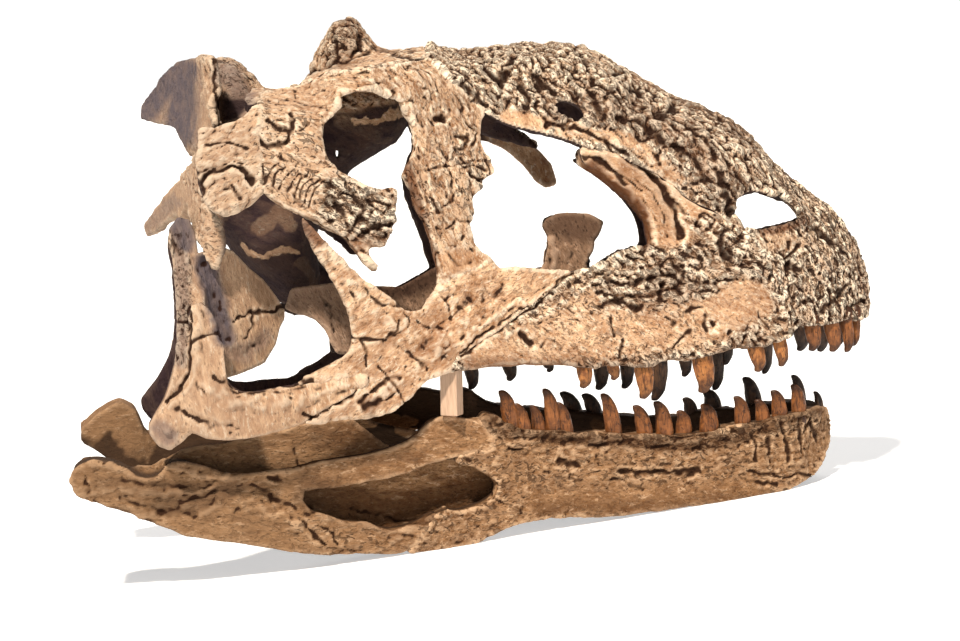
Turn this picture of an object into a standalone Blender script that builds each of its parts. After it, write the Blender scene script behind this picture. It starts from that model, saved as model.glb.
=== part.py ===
"""Fossil skull of a majungasaurus: the bones of both sides, their teeth and the prop between the jaws.

The right side of the animal faces -Y and its nose points to +X. The outlines are pairs (u, v), in pixels
of the side photograph (u to the right, v down). A line of sight through such a pixel is followed until it
meets the bone's own distance from the middle plane, so every outline comes out at its real size. The left
bones are the right ones mirrored. The upper skull lies rolled on the lower jaw, its right side propped up.
"""
from math import cos, radians, sin, sqrt

import bmesh
import bpy
import numpy as np
from mathutils import Matrix, Vector
from mathutils.geometry import delaunay_2d_cdt

# The photograph's view of the skull
PIXEL = 0.00085                 # one pixel on the skull's middle plane
VIEW_DISTANCE = 2.1
VIEW_TURN = radians(7.5)        # seen from a little behind the right side
SKULL_TILT = 0.0                # the upper skull is seen level
JAW_TILT = radians(5.6)         # and the lower jaw from a little above
VIEW_CENTRE = (480.0, 320.5)

# Driving sizes of the bones
CHEEK_BONE = 0.010              # thickness of the plates of the cheek
JAW_BONE = 0.017                # thickness of the tooth-bearing bones
ROOF_BONE = 0.013
WALL_BONE = 0.007               # the thin plates inside the skull
FREE_EDGE = 0.6                 # thickness at an outline, as a share of the full thickness
SUTURE = 0.0004                 # the gap between two bones
TOOTH_GAP = 0.0004
FLAT_CUT = 0.0012               # what is taken off the jaws' undersides, so that they rest on flats

# Half width of the skull and of the lower jaw along the photograph, as (u, metres)
CHEEK_WIDTH = [(140, 0.134), (250, 0.134), (380, 0.119), (480, 0.100), (600, 0.081), (740, 0.063),
               (815, 0.050), (845, 0.039), (858, 0.030), (866, 0.018), (871, 0.0005)]
ROOF_WIDTH = [(140, 0.112), (230, 0.112), (330, 0.108), (400, 0.092), (450, 0.066), (500, 0.052),
              (600, 0.050), (700, 0.048), (740, 0.044), (790, 0.036), (830, 0.030), (855, 0.018),
              (871, 0.0005)]
JAW_WIDTH = [(60, 0.112), (170, 0.115), (300, 0.110), (450, 0.095), (600, 0.076), (740, 0.055),
             (785, 0.046), (808, 0.037), (820, 0.027), (827, 0.015), (831, 0.0005)]

# The line of the roof, without the horn and the nuchal crest, and the depth over which it rounds off
ROOF_LINE = [(140, 95), (205, 92), (262, 84), (310, 72), (380, 52), (415, 44), (470, 49), (536, 40),
             (580, 48), (612, 58), (645, 82), (697, 101), (725, 114), (751, 137), (790, 175), (834, 210),
             (850, 233), (860, 253), (871, 300)]
ROUNDING = [(140, 30), (400, 34), (450, 44), (500, 56), (600, 66), (700, 60), (760, 40), (800, 34), (850, 60),
            (871, 60)]
CHEEK_LINE = 365                # v of the tooth row, where the cheek reaches its full width

# Swellings (+) and hollows (-) of the outer face: path, reach in pixels, height in metres
SKULL_RELIEF = [
    ([(610, 92), (650, 115), (700, 150), (735, 180)], 34, 0.006),
    ([(500, 66), (560, 62), (610, 80)], 26, 0.004),
    ([(330, 84), (372, 78), (420, 84), (455, 100)], 18, 0.005),
    ([(440, 130), (452, 180), (456, 235)], 20, 0.005),
    ([(270, 125), (300, 150), (335, 185), (372, 215)], 26, 0.007),
    ([(225, 165), (236, 190)], 20, 0.005),
    ([(204, 172), (220, 164), (238, 168)], 7, -0.005),
    ([(606, 172), (640, 196), (660, 225), (664, 245)], 15, -0.006),
    ([(480, 345), (560, 340), (640, 345), (720, 335), (780, 318)], 26, 0.004),
    ([(500, 285), (560, 300), (640, 275)], 20, -0.003),
    ([(700, 250), (740, 270), (790, 262), (830, 270)], 34, 0.005),
    ([(560, 286), (530, 306), (490, 334)], 10, 0.003),
    ([(345, 285), (400, 330), (470, 310)], 22, 0.004),
    ([(205, 350), (225, 410), (300, 402), (350, 385)], 22, 0.004),
    ([(400, 380), (380, 398)], 14, -0.003),
]
JAW_RELIEF = [
    ([(560, 464), (640, 472), (720, 470), (770, 470)], 8, -0.003),
    ([(480, 440), (560, 446), (640, 450), (740, 445)], 20, 0.003),
    ([(100, 470), (160, 482), (200, 480), (245, 478)], 12, 0.006),
    ([(110, 492), (200, 494), (250, 492), (300, 510)], 9, -0.005),
    ([(300, 535), (370, 542), (440, 530)], 16, 0.004),
    ([(760, 440), (800, 445)], 24, 0.003),
]

# Sutures that two bones share, each a run of points
PREMAXILLA_MAXILLA = [(746, 229), (757, 246), (766, 262), (772, 282), (782, 302), (787, 320), (790, 336)]
PREMAXILLA_NASAL = [(751, 138), (752, 140), (754, 144), (757, 150), (766, 166), (780, 192)]
NASAL_MAXILLA = [(730, 222), (718, 214), (706, 208), (694, 204), (684, 196), (672, 186), (658, 175),
                 (640, 165), (618, 155), (600, 150), (584, 147)]
NASAL_LACRIMAL = [(484, 110), (470, 98), (461, 92), (454, 85), (446, 76), (437, 66), (430, 58)]
LACRIMAL_JUGAL = [(490, 258), (478, 268), (462, 273), (450, 280), (441, 285)]
JUGAL_MAXILLA = [(572, 272), (543, 296), (518, 314), (492, 333), (470, 348), (457, 357), (450, 371)]
JUGAL_QUADRATOJUGAL = [(299, 384), (320, 383), (345, 378), (364, 376), (367, 381), (352, 393), (336, 403),
                       (318, 413), (306, 423)]
LACRIMAL_POSTORBITAL = [(374, 90), (372, 72)]
ROOF_BROW = [(430, 58), (412, 61), (395, 66), (372, 72), (350, 76), (325, 80), (305, 84), (290, 88),
             (262, 94)]
POSTORBITAL_SQUAMOSAL = [(259, 103), (262, 118), (258, 135), (262, 155), (258, 175), (263, 191)]
DENTARY_POSTDENTARY = [(482, 420), (488, 431), (494, 441), (490, 449), (474, 452), (460, 455)]
DENTARY_ANGULAR = [(448, 510), (438, 514), (430, 523), (422, 535), (415, 545), (408, 551)]

# Outlines of the bones of the cheek and the snout
NASAL_RIDGE = [
    (430, 44), (450, 49), (480, 49), (500, 47), (520, 44), (536, 40), (560, 45), (580, 48), (600, 53),
    (612, 58), (622, 69), (645, 83), (665, 91), (680, 98), (697, 102), (711, 108), (725, 115), (740, 128)]
NASALS = [
    *NASAL_RIDGE, *PREMAXILLA_NASAL, (774, 196), (763, 192), (756, 190), (746, 192), (735, 197), (735, 213),
    *NASAL_MAXILLA,
    (580, 144), (570, 141), (550, 134), (530, 130), (506, 124), *NASAL_LACRIMAL]
NASAL_OPENING = [(553, 105), (560, 99), (571, 101), (581, 109), (588, 119), (582, 124), (570, 120),
                 (559, 114)]
SNOUT_RIDGE = [
    (867, 316), (870, 303), (869, 288), (866, 272), (861, 255), (851, 235), (842, 221), (834, 211),
    (820, 200), (805, 188), (790, 176), (775, 163), (760, 147), (751, 138)]
PREMAXILLA = [
    *PREMAXILLA_NASAL[1:], (786, 197), (794, 207), (802, 214), (803, 219), (790, 223), (775, 227), (760, 230),
    *PREMAXILLA_MAXILLA, (795, 331), (801, 326), (812, 325), (825, 325), (838, 322), (850, 319), (860, 320),
    *SNOUT_RIDGE]
MAXILLA = [
    (735, 214), *PREMAXILLA_MAXILLA, (783, 339), (770, 345), (756, 346), (743, 346), (732, 348), (722, 351),
    (710, 355), (690, 360), (675, 358), (660, 361), (645, 366), (631, 366), (612, 364), (594, 367),
    (576, 366), (560, 362), (544, 363), (528, 361), (513, 364), (497, 364), (482, 368), (466, 370),
    *JUGAL_MAXILLA[::-1], (590, 270), (607, 263), (617, 254), (636, 248), (652, 248), (653, 240),
    (650, 220), (640, 205), (630, 194), (614, 181), (600, 170), (592, 167), (583, 161), (581, 152),
    *NASAL_MAXILLA[::-1] ]
LACRIMAL = [
    *NASAL_LACRIMAL[::-1], (481, 120), (481, 135), (482, 148), (490, 158), (494, 172), (482, 179),
    (482, 186), (474, 193), (471, 203), (474, 212), (468, 227), (473, 241), (478, 249), *LACRIMAL_JUGAL,
    (438, 262), (433, 238), (428, 225), (422, 212), (414, 190), (405, 176), (408, 168), (413, 158),
    (417, 145), (417, 132), (413, 122), (408, 113), (404, 104), (398, 97), (386, 95), *LACRIMAL_POSTORBITAL,
    (395, 66), (412, 61)]
POSTORBITAL = [
    *LACRIMAL_POSTORBITAL[::-1], (358, 91), (340, 94), (340, 106), (330, 117), (323, 123), (321, 132),
    (324, 152), (327, 160), (333, 168), (340, 175), (353, 180), (364, 187), (377, 191), (392, 187),
    (397, 191), (396, 207), (391, 212), (396, 220), (394, 227), (389, 238), (384, 246), (372, 245),
    (367, 251), (370, 261), (377, 266), (375, 270), (365, 260), (353, 246), (341, 235), (327, 228),
    (318, 223), (303, 214), (285, 207), (270, 197), *POSTORBITAL_SQUAMOSAL[::-1], (262, 94),
    *ROOF_BROW[-2:3:-1] ]
SQUAMOSAL = [
    (201, 130), (219, 128), (240, 120), *POSTORBITAL_SQUAMOSAL, (252, 203), (238, 211), (226, 214),
    (212, 208), (204, 196), (200, 184), (199, 172), (197, 160), (201, 149)]
JUGAL = [
    (302, 217), (320, 236), (332, 251), (347, 266), (362, 281), (378, 289), (393, 299), (403, 309),
    (414, 312), (424, 309), (431, 299), (438, 292), *LACRIMAL_JUGAL[::-1], (500, 269), (520, 268),
    (544, 271), *JUGAL_MAXILLA, (440, 374), (429, 378), (421, 385), (413, 396), (403, 404), (393, 411),
    (378, 415), (360, 418), (342, 418), (322, 423), *JUGAL_QUADRATOJUGAL[::-1], (312, 375), (330, 366),
    (345, 358), (352, 350), (354, 336), (352, 320), (347, 305), (337, 288), (326, 266), (314, 247),
    (306, 233)]
QUADRATOJUGAL = [
    (189, 314), (193, 306), (201, 303), (208, 309), (215, 320), (221, 336), (225, 350), (224, 362),
    (226, 378), (233, 388), (246, 393), (266, 391), (284, 388), *JUGAL_QUADRATOJUGAL, (296, 426),
    (283, 430), (266, 435), (246, 439), (225, 441), (207, 438), (188, 429), (176, 429), (166, 434),
    (161, 421), (168, 408), (180, 400), (188, 386), (191, 368), (192, 345)]
QUADRATE_SHAFT = [
    (169, 242), (170, 228), (178, 218), (188, 220), (195, 236), (197, 262), (200, 280), (205, 292),
    (206, 330), (204, 380), (196, 410), (190, 432), (180, 443), (170, 449), (160, 446), (152, 436),
    (150, 425), (158, 410), (166, 396), (173, 375), (177, 350), (178, 325), (177, 300), (174, 265)]
PTERYGOID_WING = [
    (186, 258), (221, 248), (232, 252), (246, 266), (262, 280), (272, 293), (284, 309), (284, 319),
    (279, 327), (275, 344), (264, 362), (250, 368), (236, 374), (224, 378), (196, 372), (188, 320)]
PALATE = [
    (546, 262), (549, 248), (550, 238), (544, 226), (547, 220), (557, 215), (569, 214), (588, 215),
    (603, 222), (599, 232), (593, 240), (592, 250), (585, 263), (590, 290), (625, 306), (640, 322),
    (600, 336), (540, 342), (470, 346), (400, 344), (360, 352), (338, 352), (327, 334), (315, 321),
    (298, 313), (286, 308), (292, 290), (330, 284), (378, 287), (400, 288), (420, 277), (436, 269),
    (470, 284), (530, 290)]

# The braincase and the back of the skull
FRONTAL_KEEL = [
    (290, 92), (326, 70), (360, 58), (393, 50), (418, 47), (427, 49), (424, 66), (404, 84), (380, 92),
    (310, 104)]
FRONTALS = [
    (430, 44), (425, 43), (410, 45), (393, 46), (378, 50), (350, 58), (326, 66), (310, 72), (300, 80),
    (288, 84), (273, 88), (262, 85), (250, 88), (240, 96), (250, 104), (262, 100), *ROOF_BROW[::-1] ]
HORN = [
    (296, 100), (300, 82), (308, 76), (313, 62), (318, 53), (323, 38), (333, 25), (340, 20), (350, 18),
    (358, 26), (367, 36), (374, 44), (384, 52), (390, 70), (370, 92), (330, 100)]
CREST_WEB = [
    (212, 59), (226, 58), (243, 63), (251, 73), (262, 86), (275, 96), (262, 120), (240, 130), (212, 132)]
BRAINCASE = [
    (204, 132), (240, 104), (262, 92), (340, 78), (395, 72), (408, 90), (408, 125), (398, 140), (380, 150),
    (360, 164), (346, 172), (345, 205), (318, 226), (316, 250), (320, 285), (300, 301), (284, 304),
    (264, 286), (240, 262), (224, 240), (206, 222), (178, 220), (176, 200), (198, 188)]
NUCHAL_CREST = [
    (212, 58), (203, 57), (190, 59), (176, 62), (167, 71), (157, 81), (152, 89), (148, 98), (141, 105),
    (140, 118), (152, 122), (174, 126), (182, 142), (190, 156), (204, 158), (214, 142), (218, 127),
    (210, 112), (214, 92)]
OCCIPUT_WINGS = [
    (203, 146), (194, 153), (187, 166), (180, 179), (172, 188), (160, 201), (150, 216), (142, 227),
    (146, 236), (158, 230), (166, 222), (176, 214), (187, 205), (190, 220), (196, 236), (199, 250),
    (206, 254), (211, 270), (218, 271), (221, 258), (225, 245), (222, 226), (213, 213), (205, 205),
    (201, 192), (206, 168)]
FAR_STRAP = [
    (438, 112), (460, 117), (486, 129), (506, 133), (518, 137), (529, 143), (540, 152), (551, 164),
    (556, 183), (546, 186), (536, 180), (524, 164), (508, 149), (488, 140), (440, 136)]

# Outlines of the lower jaw
DENTARY = [
    (487, 415), (495, 416), (507, 423), (519, 429), (535, 431), (551, 432), (564, 431), (576, 434),
    (601, 433), (625, 435), (652, 436), (680, 435), (694, 434), (715, 433), (724, 428), (736, 426),
    (755, 423), (767, 422), (781, 417), (796, 414), (807, 412), (819, 407), (826, 408), (829, 417),
    (830, 430), (828, 446), (823, 460), (813, 475), (801, 483), (785, 491), (765, 496), (740, 500),
    (712, 504), (680, 507), (646, 512), (605, 517), (564, 517), (544, 519), (523, 523), (507, 528),
    (491, 536), (472, 545), (442, 551), (421, 554), *DENTARY_ANGULAR[::-1], (458, 513), (480, 506),
    (491, 501), (498, 493), (499, 483), (487, 473), (474, 468), (457, 461), *DENTARY_POSTDENTARY[::-1] ]
JAW_END = [
    (77, 495), (70, 481), (73, 471), (82, 464), (95, 462), (110, 464), (123, 468), (134, 475), (147, 479),
    (158, 478), (166, 468), (174, 463)]
FAR_JAW_END = [
    (128, 466), (118, 461), (110, 455), (100, 448), (93, 443), (85, 439), (82, 434), (82, 423), (88, 418),
    (92, 412), (104, 405), (112, 400), (120, 398), (128, 402), (134, 406), (138, 416), (144, 428), (152, 437)]
POSTDENTARY = [
    (190, 464), (207, 468), (225, 474), (244, 474), (268, 472), (294, 469), (305, 466), (320, 462),
    (342, 459), (364, 455), (385, 451), (409, 442), (419, 433), (429, 423), (438, 418), (450, 417),
    (466, 419), *DENTARY_POSTDENTARY, (449, 458), (442, 460), (427, 464), (411, 472), (391, 477),
    (360, 483), (330, 488), (304, 490), (302, 500), (310, 511), (330, 517), (350, 524), (366, 522),
    (380, 529), (393, 531), (407, 527), (421, 521), *DENTARY_ANGULAR[1:], (400, 554), (364, 554),
    (331, 555), (298, 553), (277, 550), (244, 544), (212, 540), (186, 536), (173, 530)]
JAW_HEEL = [(158, 524), (136, 517), (114, 511), (92, 503)]
PREARTICULAR = [
    (118, 470), (150, 468), (185, 450), (215, 445), (246, 439), (266, 434), (285, 430), (300, 425),
    (318, 422), (335, 419), (352, 420), (364, 430), (377, 440), (390, 448), (410, 452), (440, 456),
    (470, 462), (497, 470), (502, 490), (480, 508), (440, 522), (400, 540), (350, 546), (280, 540),
    (200, 524), (150, 508), (120, 494)]

# Tooth rows, and teeth as (u where the tooth leaves the bone, u and v of its tip, its width in pixels)
UPPER_ROW = [(466, 370), (482, 368), (513, 364), (544, 363), (576, 366), (594, 367), (631, 366), (660, 361),
             (690, 360), (710, 355), (732, 348), (756, 346), (787, 337), (800, 326), (825, 325), (850, 319),
             (867, 316)]
LOWER_ROW = [(487, 415), (507, 423), (519, 429), (564, 431), (601, 433), (652, 436), (715, 433), (736, 426),
             (767, 422), (796, 414), (819, 407), (829, 417)]
PREMAXILLARY_TEETH_R = [(812, 809, 350, 15), (831, 830, 351, 15), (846, 845, 352, 12), (856, 853, 346, 8)]
PREMAXILLARY_TEETH_L = [(801, 798, 350, 15), (820, 819, 351, 15), (838, 837, 350, 12), (854, 852, 345, 6)]
MAXILLARY_TEETH_R = [(584, 580, 387, 14), (613, 611, 379, 11), (643, 640, 398, 17), (702, 699, 392, 19),
                     (755, 755, 371, 15), (779, 779, 366, 13)]
MAXILLARY_TEETH_L = [(470, 469, 389, 14), (508, 507, 380, 14), (548, 547, 371, 10), (601, 596, 389, 15),
                     (627, 622, 388, 14), (659, 652, 400, 17), (684, 682, 376, 13), (716, 713, 390, 14)]
DENTARY_TEETH_R = [(511, 499, 391, 15), (554, 543, 389, 14), (614, 601, 394, 15), (645, 633, 406, 15),
                   (665, 654, 402, 16), (709, 701, 405, 18), (743, 734, 397, 15), (780, 771, 391, 15),
                   (799, 791, 385, 14)]
DENTARY_TEETH_L = [(575, 560, 393, 15), (595, 582, 395, 15), (714, 703, 391, 17), (755, 743, 378, 16),
                   (819, 810, 384, 12)]
TOOTH_ROOT = 12                 # pixels of root in the socket
TOOTH_FLATNESS = 0.58
TOOTH_IN = 0.0075               # from the bone's outer face to the middle of its teeth

PROP_WIDTH = 0.0145
PROP_TURN = radians(-28)
PROP_Y = -0.0975
PROP_TOP = (452, 375)
PROP_BOTTOM = (452, 415)
FUSED_SUTURE = 0.003            # the roof's gap to its neighbours, which its rounded skin needs
JAW_BOX = 0.024                 # from the jaw's outer face to the plate inside it
FAR_SWEEP = (9, 16)             # how far the left quadrate's lower end lies back and up, in pixels

# Where the far side's bones are broken away, as seen through the openings of the near side: the outline, the
# distance from the middle plane that the break starts at, and the bones that it runs through
BREAKS = [
    ([(396, 140), (408, 122), (413, 135), (413, 150), (407, 165), (402, 176), (406, 195), (413, 212),
      (418, 225), (423, 240), (431, 268), (420, 276), (400, 284), (380, 286), (372, 250), (375, 190),
      (370, 160)], 0.012, ("lacrimal_L", "jugal_L")),
    ([(509, 127), (530, 131), (550, 136), (570, 141), (580, 145), (583, 153), (592, 168), (575, 165),
      (556, 158), (549, 160), (540, 150), (529, 141), (518, 134)], 0.012, ("nasals",)),
    ([(556, 150), (570, 158), (583, 166), (598, 176), (612, 188), (624, 199), (633, 212), (638, 224),
      (641, 246), (625, 250), (610, 257), (598, 265), (586, 271), (590, 255), (595, 240), (604, 222),
      (596, 200), (575, 185), (556, 170)], 0.012, ("maxilla_L", "palate_L")),
    ([(525, 213), (545, 217), (543, 226), (549, 238), (548, 250), (545, 268), (525, 268)],
     0.005, ("palate_L",)),
    ([(737, 197), (746, 193), (756, 191), (765, 194), (776, 199), (787, 203), (795, 210), (801, 216),
      (790, 222), (775, 226), (760, 228), (748, 229), (738, 215)],
     0.004, ("nasals", "premaxilla_L", "maxilla_L")),
    ([(318, 226), (341, 243), (356, 258), (372, 275), (380, 290), (360, 300), (330, 285), (312, 262),
      (306, 240)], 0.012, ("postorbital_L",)),
    ([(288, 317), (297, 314), (304, 314), (316, 319), (326, 329), (331, 338), (332, 352), (318, 362),
      (300, 373), (288, 379), (250, 382), (236, 380), (258, 370), (270, 350), (278, 330)],
     -0.060, ("palate_R", "palate_L", "jugal_L", "quadrate_L")),
    ([(333, 148), (341, 149), (341, 155), (337, 161), (333, 156)],
     -0.070, ("skull_roof", "postorbital_L")),
]

SKULL = "majungasaurus_skull"
CUTTERS = "cutters"
BONE_COLOUR = (0.60, 0.42, 0.26)
DARK_BONE_COLOUR = (0.40, 0.28, 0.18)
JAW_COLOUR = (0.55, 0.40, 0.23)
TOOTH_COLOUR = (0.36, 0.19, 0.09)
PROP_COLOUR = (0.62, 0.50, 0.39)


class View:
    """How a part of the skull is seen: turned to its rear, and tilted down by an angle."""

    def __init__(self, tilt):
        self.forward = Vector((sin(VIEW_TURN) * cos(tilt), cos(VIEW_TURN) * cos(tilt), -sin(tilt)))
        self.right = Vector((cos(VIEW_TURN), -sin(VIEW_TURN), 0.0))
        self.up = self.right.cross(self.forward)
        self.eye = -VIEW_DISTANCE * self.forward

    def spot(self, u, v, y):
        """The point at distance y from the middle plane that is seen at pixel (u, v)."""
        step = PIXEL / VIEW_DISTANCE
        across = self.right * (u - VIEW_CENTRE[0]) * step
        ray = self.forward + across - self.up * (v - VIEW_CENTRE[1]) * step
        return self.eye + ray * ((y - self.eye.y) / ray.y)

    def pixel(self, point):
        """The pixel at which a point is seen."""
        ray = point - self.eye
        step = VIEW_DISTANCE / PIXEL / ray.dot(self.forward)
        return VIEW_CENTRE[0] + ray.dot(self.right) * step, VIEW_CENTRE[1] - ray.dot(self.up) * step


SKULL_VIEW = View(SKULL_TILT)
JAW_VIEW = View(JAW_TILT)


def along(u, table):
    """The value at u of a curve given by (u, value) pairs."""
    return float(np.interp(u, [pair[0] for pair in table], [pair[1] for pair in table]))


def path_distance(u, v, path, closed=False):
    """Pixels from (u, v) to a run of points."""
    start = np.array(path, float)
    end = np.roll(start, -1, axis=0) if closed else start[1:]
    start = start if closed else start[:-1]
    run = end - start
    offset = np.array((u, v)) - start
    share = np.clip((offset * run).sum(axis=1) / (run * run).sum(axis=1), 0.0, 1.0)
    return float(np.sqrt(((offset - run * share[:, None]) ** 2).sum(axis=1).min()))


def relief_height(u, v, relief):
    """Height of the swellings and hollows at (u, v)."""
    height = 0.0
    for path, reach, rise in relief:
        near = 1.0 - path_distance(u, v, path) / reach
        if near > 0.0:
            height += rise * near * near * (3.0 - 2.0 * near)
    return height


# Faces of the skull: each gives a point for (u, v) and a depth from the outer face inwards

def skull_half_width(u, v):
    """Half width of the skull's outer face: full at the tooth row, rounding off to the roof line."""
    top = along(u, ROOF_LINE)
    drop = min(max((v - top) / (CHEEK_LINE - top), 0.0), 1.0)
    side = along(u, ROOF_WIDTH) * (1.0 - drop) + along(u, CHEEK_WIDTH) * drop
    rounding = min(max((v - top) / along(u, ROUNDING), 0.0), 1.0)
    return side * sqrt(1.0 - (1.0 - rounding) ** 2)


def jaw_half_width(u, v):
    return along(u, JAW_WIDTH)


def face_point(view, u, v, depth, half_width, relief):
    """A point of the right side's outer face, or the point at a depth square to that face under it."""
    around = ((u, v), (u + 2, v), (u - 2, v), (u, v + 2), (u, v - 2))
    points = [view.spot(a, b, -half_width(a, b)) for a, b in around]
    outward = (points[1] - points[2]).cross(points[4] - points[3]).normalized()
    return points[0] + outward * (relief_height(u, v, relief) - depth)


def on_skull(u, v, depth):
    return face_point(SKULL_VIEW, u, v, depth, skull_half_width, SKULL_RELIEF)


def on_jaw(u, v, depth):
    return face_point(JAW_VIEW, u, v, depth, jaw_half_width, JAW_RELIEF)


def inside_jaw(u, v, depth):
    return JAW_VIEW.spot(u, v, JAW_BOX - jaw_half_width(u, v)) + Vector((0.0, depth, 0.0))


def slab(y_of):
    """A face of the upper skull at y_of(u, v) from the middle plane, with its depth measured along Y."""
    def place(u, v, depth):
        return SKULL_VIEW.spot(u, v, y_of(u, v)) + Vector((0.0, depth, 0.0))
    return place


def ramp(u, start, end):
    """From 0 at start to 1 at end, and level outside them."""
    return min(max((u - start) / (end - start), 0.0), 1.0)


# Solids

def inset(outline, gap_pixels):
    """The outline moved inwards, so that two bones keep a gap at their suture."""
    points = np.array(outline, float)
    before = points - np.roll(points, 1, axis=0)
    after = np.roll(points, -1, axis=0) - points
    before /= np.linalg.norm(before, axis=1)[:, None]
    after /= np.linalg.norm(after, axis=1)[:, None]
    x, y = points[:, 0], points[:, 1]
    turn = np.sign((x * np.roll(y, -1) - np.roll(x, -1) * y).sum())
    normal = np.stack([-(before + after)[:, 1], (before + after)[:, 0]], axis=1)
    normal /= np.linalg.norm(normal, axis=1)[:, None]
    square = np.stack([-before[:, 1], before[:, 0]], axis=1)
    stretch = 1.0 / np.maximum((normal * square).sum(axis=1), 0.5)
    return [tuple(point) for point in points + normal * (turn * gap_pixels * stretch)[:, None]]


def is_inside(u, v, outline):
    """Whether (u, v) lies inside a closed run of points."""
    points = np.array(outline, float)
    after = np.roll(points, -1, axis=0)
    crosses = (points[:, 1] > v) != (after[:, 1] > v)
    run = np.where(crosses, after[:, 1] - points[:, 1], 1.0)
    at = points[:, 0] + (v - points[:, 1]) * (after[:, 0] - points[:, 0]) / run
    return bool((crosses & (at > u)).sum() % 2)


def inner_points(rings, spacing):
    """Points on a staggered grid inside the outline and clear of it and of its openings."""
    low = np.min(rings[0], axis=0)
    high = np.max(rings[0], axis=0)
    points = []
    row = 0
    v = low[1]
    while v < high[1]:
        u = low[0] + (spacing / 2 if row % 2 else 0.0)
        while u < high[0]:
            within = is_inside(u, v, rings[0]) and not any(is_inside(u, v, ring) for ring in rings[1:])
            if within and min(path_distance(u, v, ring, closed=True) for ring in rings) > spacing * 0.55:
                points.append((u, v))
            u += spacing
        v += spacing * 0.87
        row += 1
    return points


def triangulate(rings, extra):
    """Triangles over the outline, through its own points and the extra ones, as index triples."""
    points = [point for ring in rings for point in ring] + extra
    edges = []
    first = 0
    for ring in rings:
        edges += [(first + i, first + (i + 1) % len(ring)) for i in range(len(ring))]
        first += len(ring)
    result = delaunay_2d_cdt([Vector(point) for point in points], edges, [], 0, 1e-5)
    source = [origin[0] for origin in result[3]]
    triangles = []
    for face in result[2]:
        corners = [source[i] for i in face]
        u = sum(points[i][0] for i in corners) / 3
        v = sum(points[i][1] for i in corners) / 3
        if is_inside(u, v, rings[0]) and not any(is_inside(u, v, ring) for ring in rings[1:]):
            triangles.append(corners)
    return points, triangles


def add_plate(bm, outline, place, thickness, spacing=30, back_spacing=90, holes=(), edge=FREE_EDGE,
              gap=0.0):
    """A bone plate: an outer and an inner face over one outline, joined round its edges.

    The walls start from the gap's edge but run in the direction that the bare outline gives, so that
    the walls of two bones that share a suture stay parallel.
    """
    gap_pixels = gap / 2 / PIXEL
    rings = [inset(outline, gap_pixels)] + [list(hole) for hole in holes]
    rim = list(outline) + [point for hole in holes for point in hole]
    sides = []
    for back, grid in ((False, spacing), (True, back_spacing)):
        points, triangles = triangulate(rings, inner_points(rings, grid))
        corners = []
        for i, (u, v) in enumerate(points):
            point = place(u, v, 0.0)
            if back:
                at = rim[i] if i < len(rim) else (u, v)
                full = thickness(*at) if callable(thickness) else thickness
                point += place(*at, full * (edge if i < len(rim) else 1.0)) - place(*at, 0.0)
            corners.append(bm.verts.new(point))
        for triangle in triangles:
            bm.faces.new([corners[i] for i in triangle])
        sides.append(corners)
    front, back = sides
    first = 0
    for ring in rings:
        for i in range(len(ring)):
            a, b = sorted((first + i, first + (i + 1) % len(ring)), key=lambda k: rim[k])
            bm.faces.new((front[a], front[b], back[b]))
            bm.faces.new((front[a], back[b], back[a]))
        first += len(ring)
    bmesh.ops.recalc_face_normals(bm, faces=bm.faces)
    return sides


def material(name, colour, roughness):
    """The object's own Principled material."""
    new = bpy.data.materials.new(name)
    new.use_nodes = True
    shader = new.node_tree.nodes["Principled BSDF"]
    shader.inputs["Base Color"].default_value = (*colour, 1.0)
    shader.inputs["Roughness"].default_value = roughness
    shader.inputs["Metallic"].default_value = 0.0
    return new


def finish(name, bm, colour, roughness=0.75, collection=SKULL):
    """Make a named object of a bmesh, in the skull's collection."""
    mesh = bpy.data.meshes.new(name)
    bm.to_mesh(mesh)
    bm.free()
    mesh.materials.append(material(name, colour, roughness))
    piece = bpy.data.objects.new(name, mesh)
    bpy.data.collections[collection].objects.link(piece)
    return piece


def mirrored(piece, name):
    """The same bone of the other side."""
    bm = bmesh.new()
    bm.from_mesh(piece.data)
    for vert in bm.verts:
        vert.co.y = -vert.co.y
    bmesh.ops.reverse_faces(bm, faces=bm.faces)
    colour = piece.data.materials[0].node_tree.nodes["Principled BSDF"].inputs["Base Color"].default_value[:3]
    return finish(name, bm, colour)


def keep_right(bm, middle_gap):
    """Hold a right bone on its own side of the middle plane."""
    for vert in bm.verts:
        vert.co.y = min(vert.co.y, -middle_gap)


def fuse(piece, voxel, faces):
    """Join the overlapping solids of a piece in one skin and thin it out to a number of triangles."""
    remesh = piece.modifiers.new("fuse", "REMESH")
    remesh.mode = "VOXEL"
    remesh.voxel_size = voxel
    smooth = piece.modifiers.new("smooth", "SMOOTH")
    smooth.factor = 0.5
    smooth.iterations = 2
    fused = new_mesh(piece)
    thin = piece.modifiers.new("thin", "DECIMATE")
    thin.ratio = faces / (2 * len(fused.polygons))
    thin.use_collapse_triangulate = True
    thinned = new_mesh(piece)
    thinned.materials.clear()
    thinned.materials.append(piece.data.materials[0])
    piece.modifiers.clear()
    piece.data = thinned


def new_mesh(piece):
    """The piece's mesh as its modifiers leave it."""
    seen = bpy.context.evaluated_depsgraph_get()
    seen.update()
    return bpy.data.meshes.new_from_object(piece.evaluated_get(seen))


# The bones

def to_middle(sides, outline, ridge, middle_gap):
    """Bring the outline's points on the ridge to the middle plane along their sight lines, in both faces."""
    for corners in sides:
        for vert, point in zip(corners, outline):
            if point in ridge:
                start = SKULL_VIEW.spot(*point, vert.co.y)
                vert.co += SKULL_VIEW.spot(*point, -middle_gap) - start
                vert.co.y = -middle_gap


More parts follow.
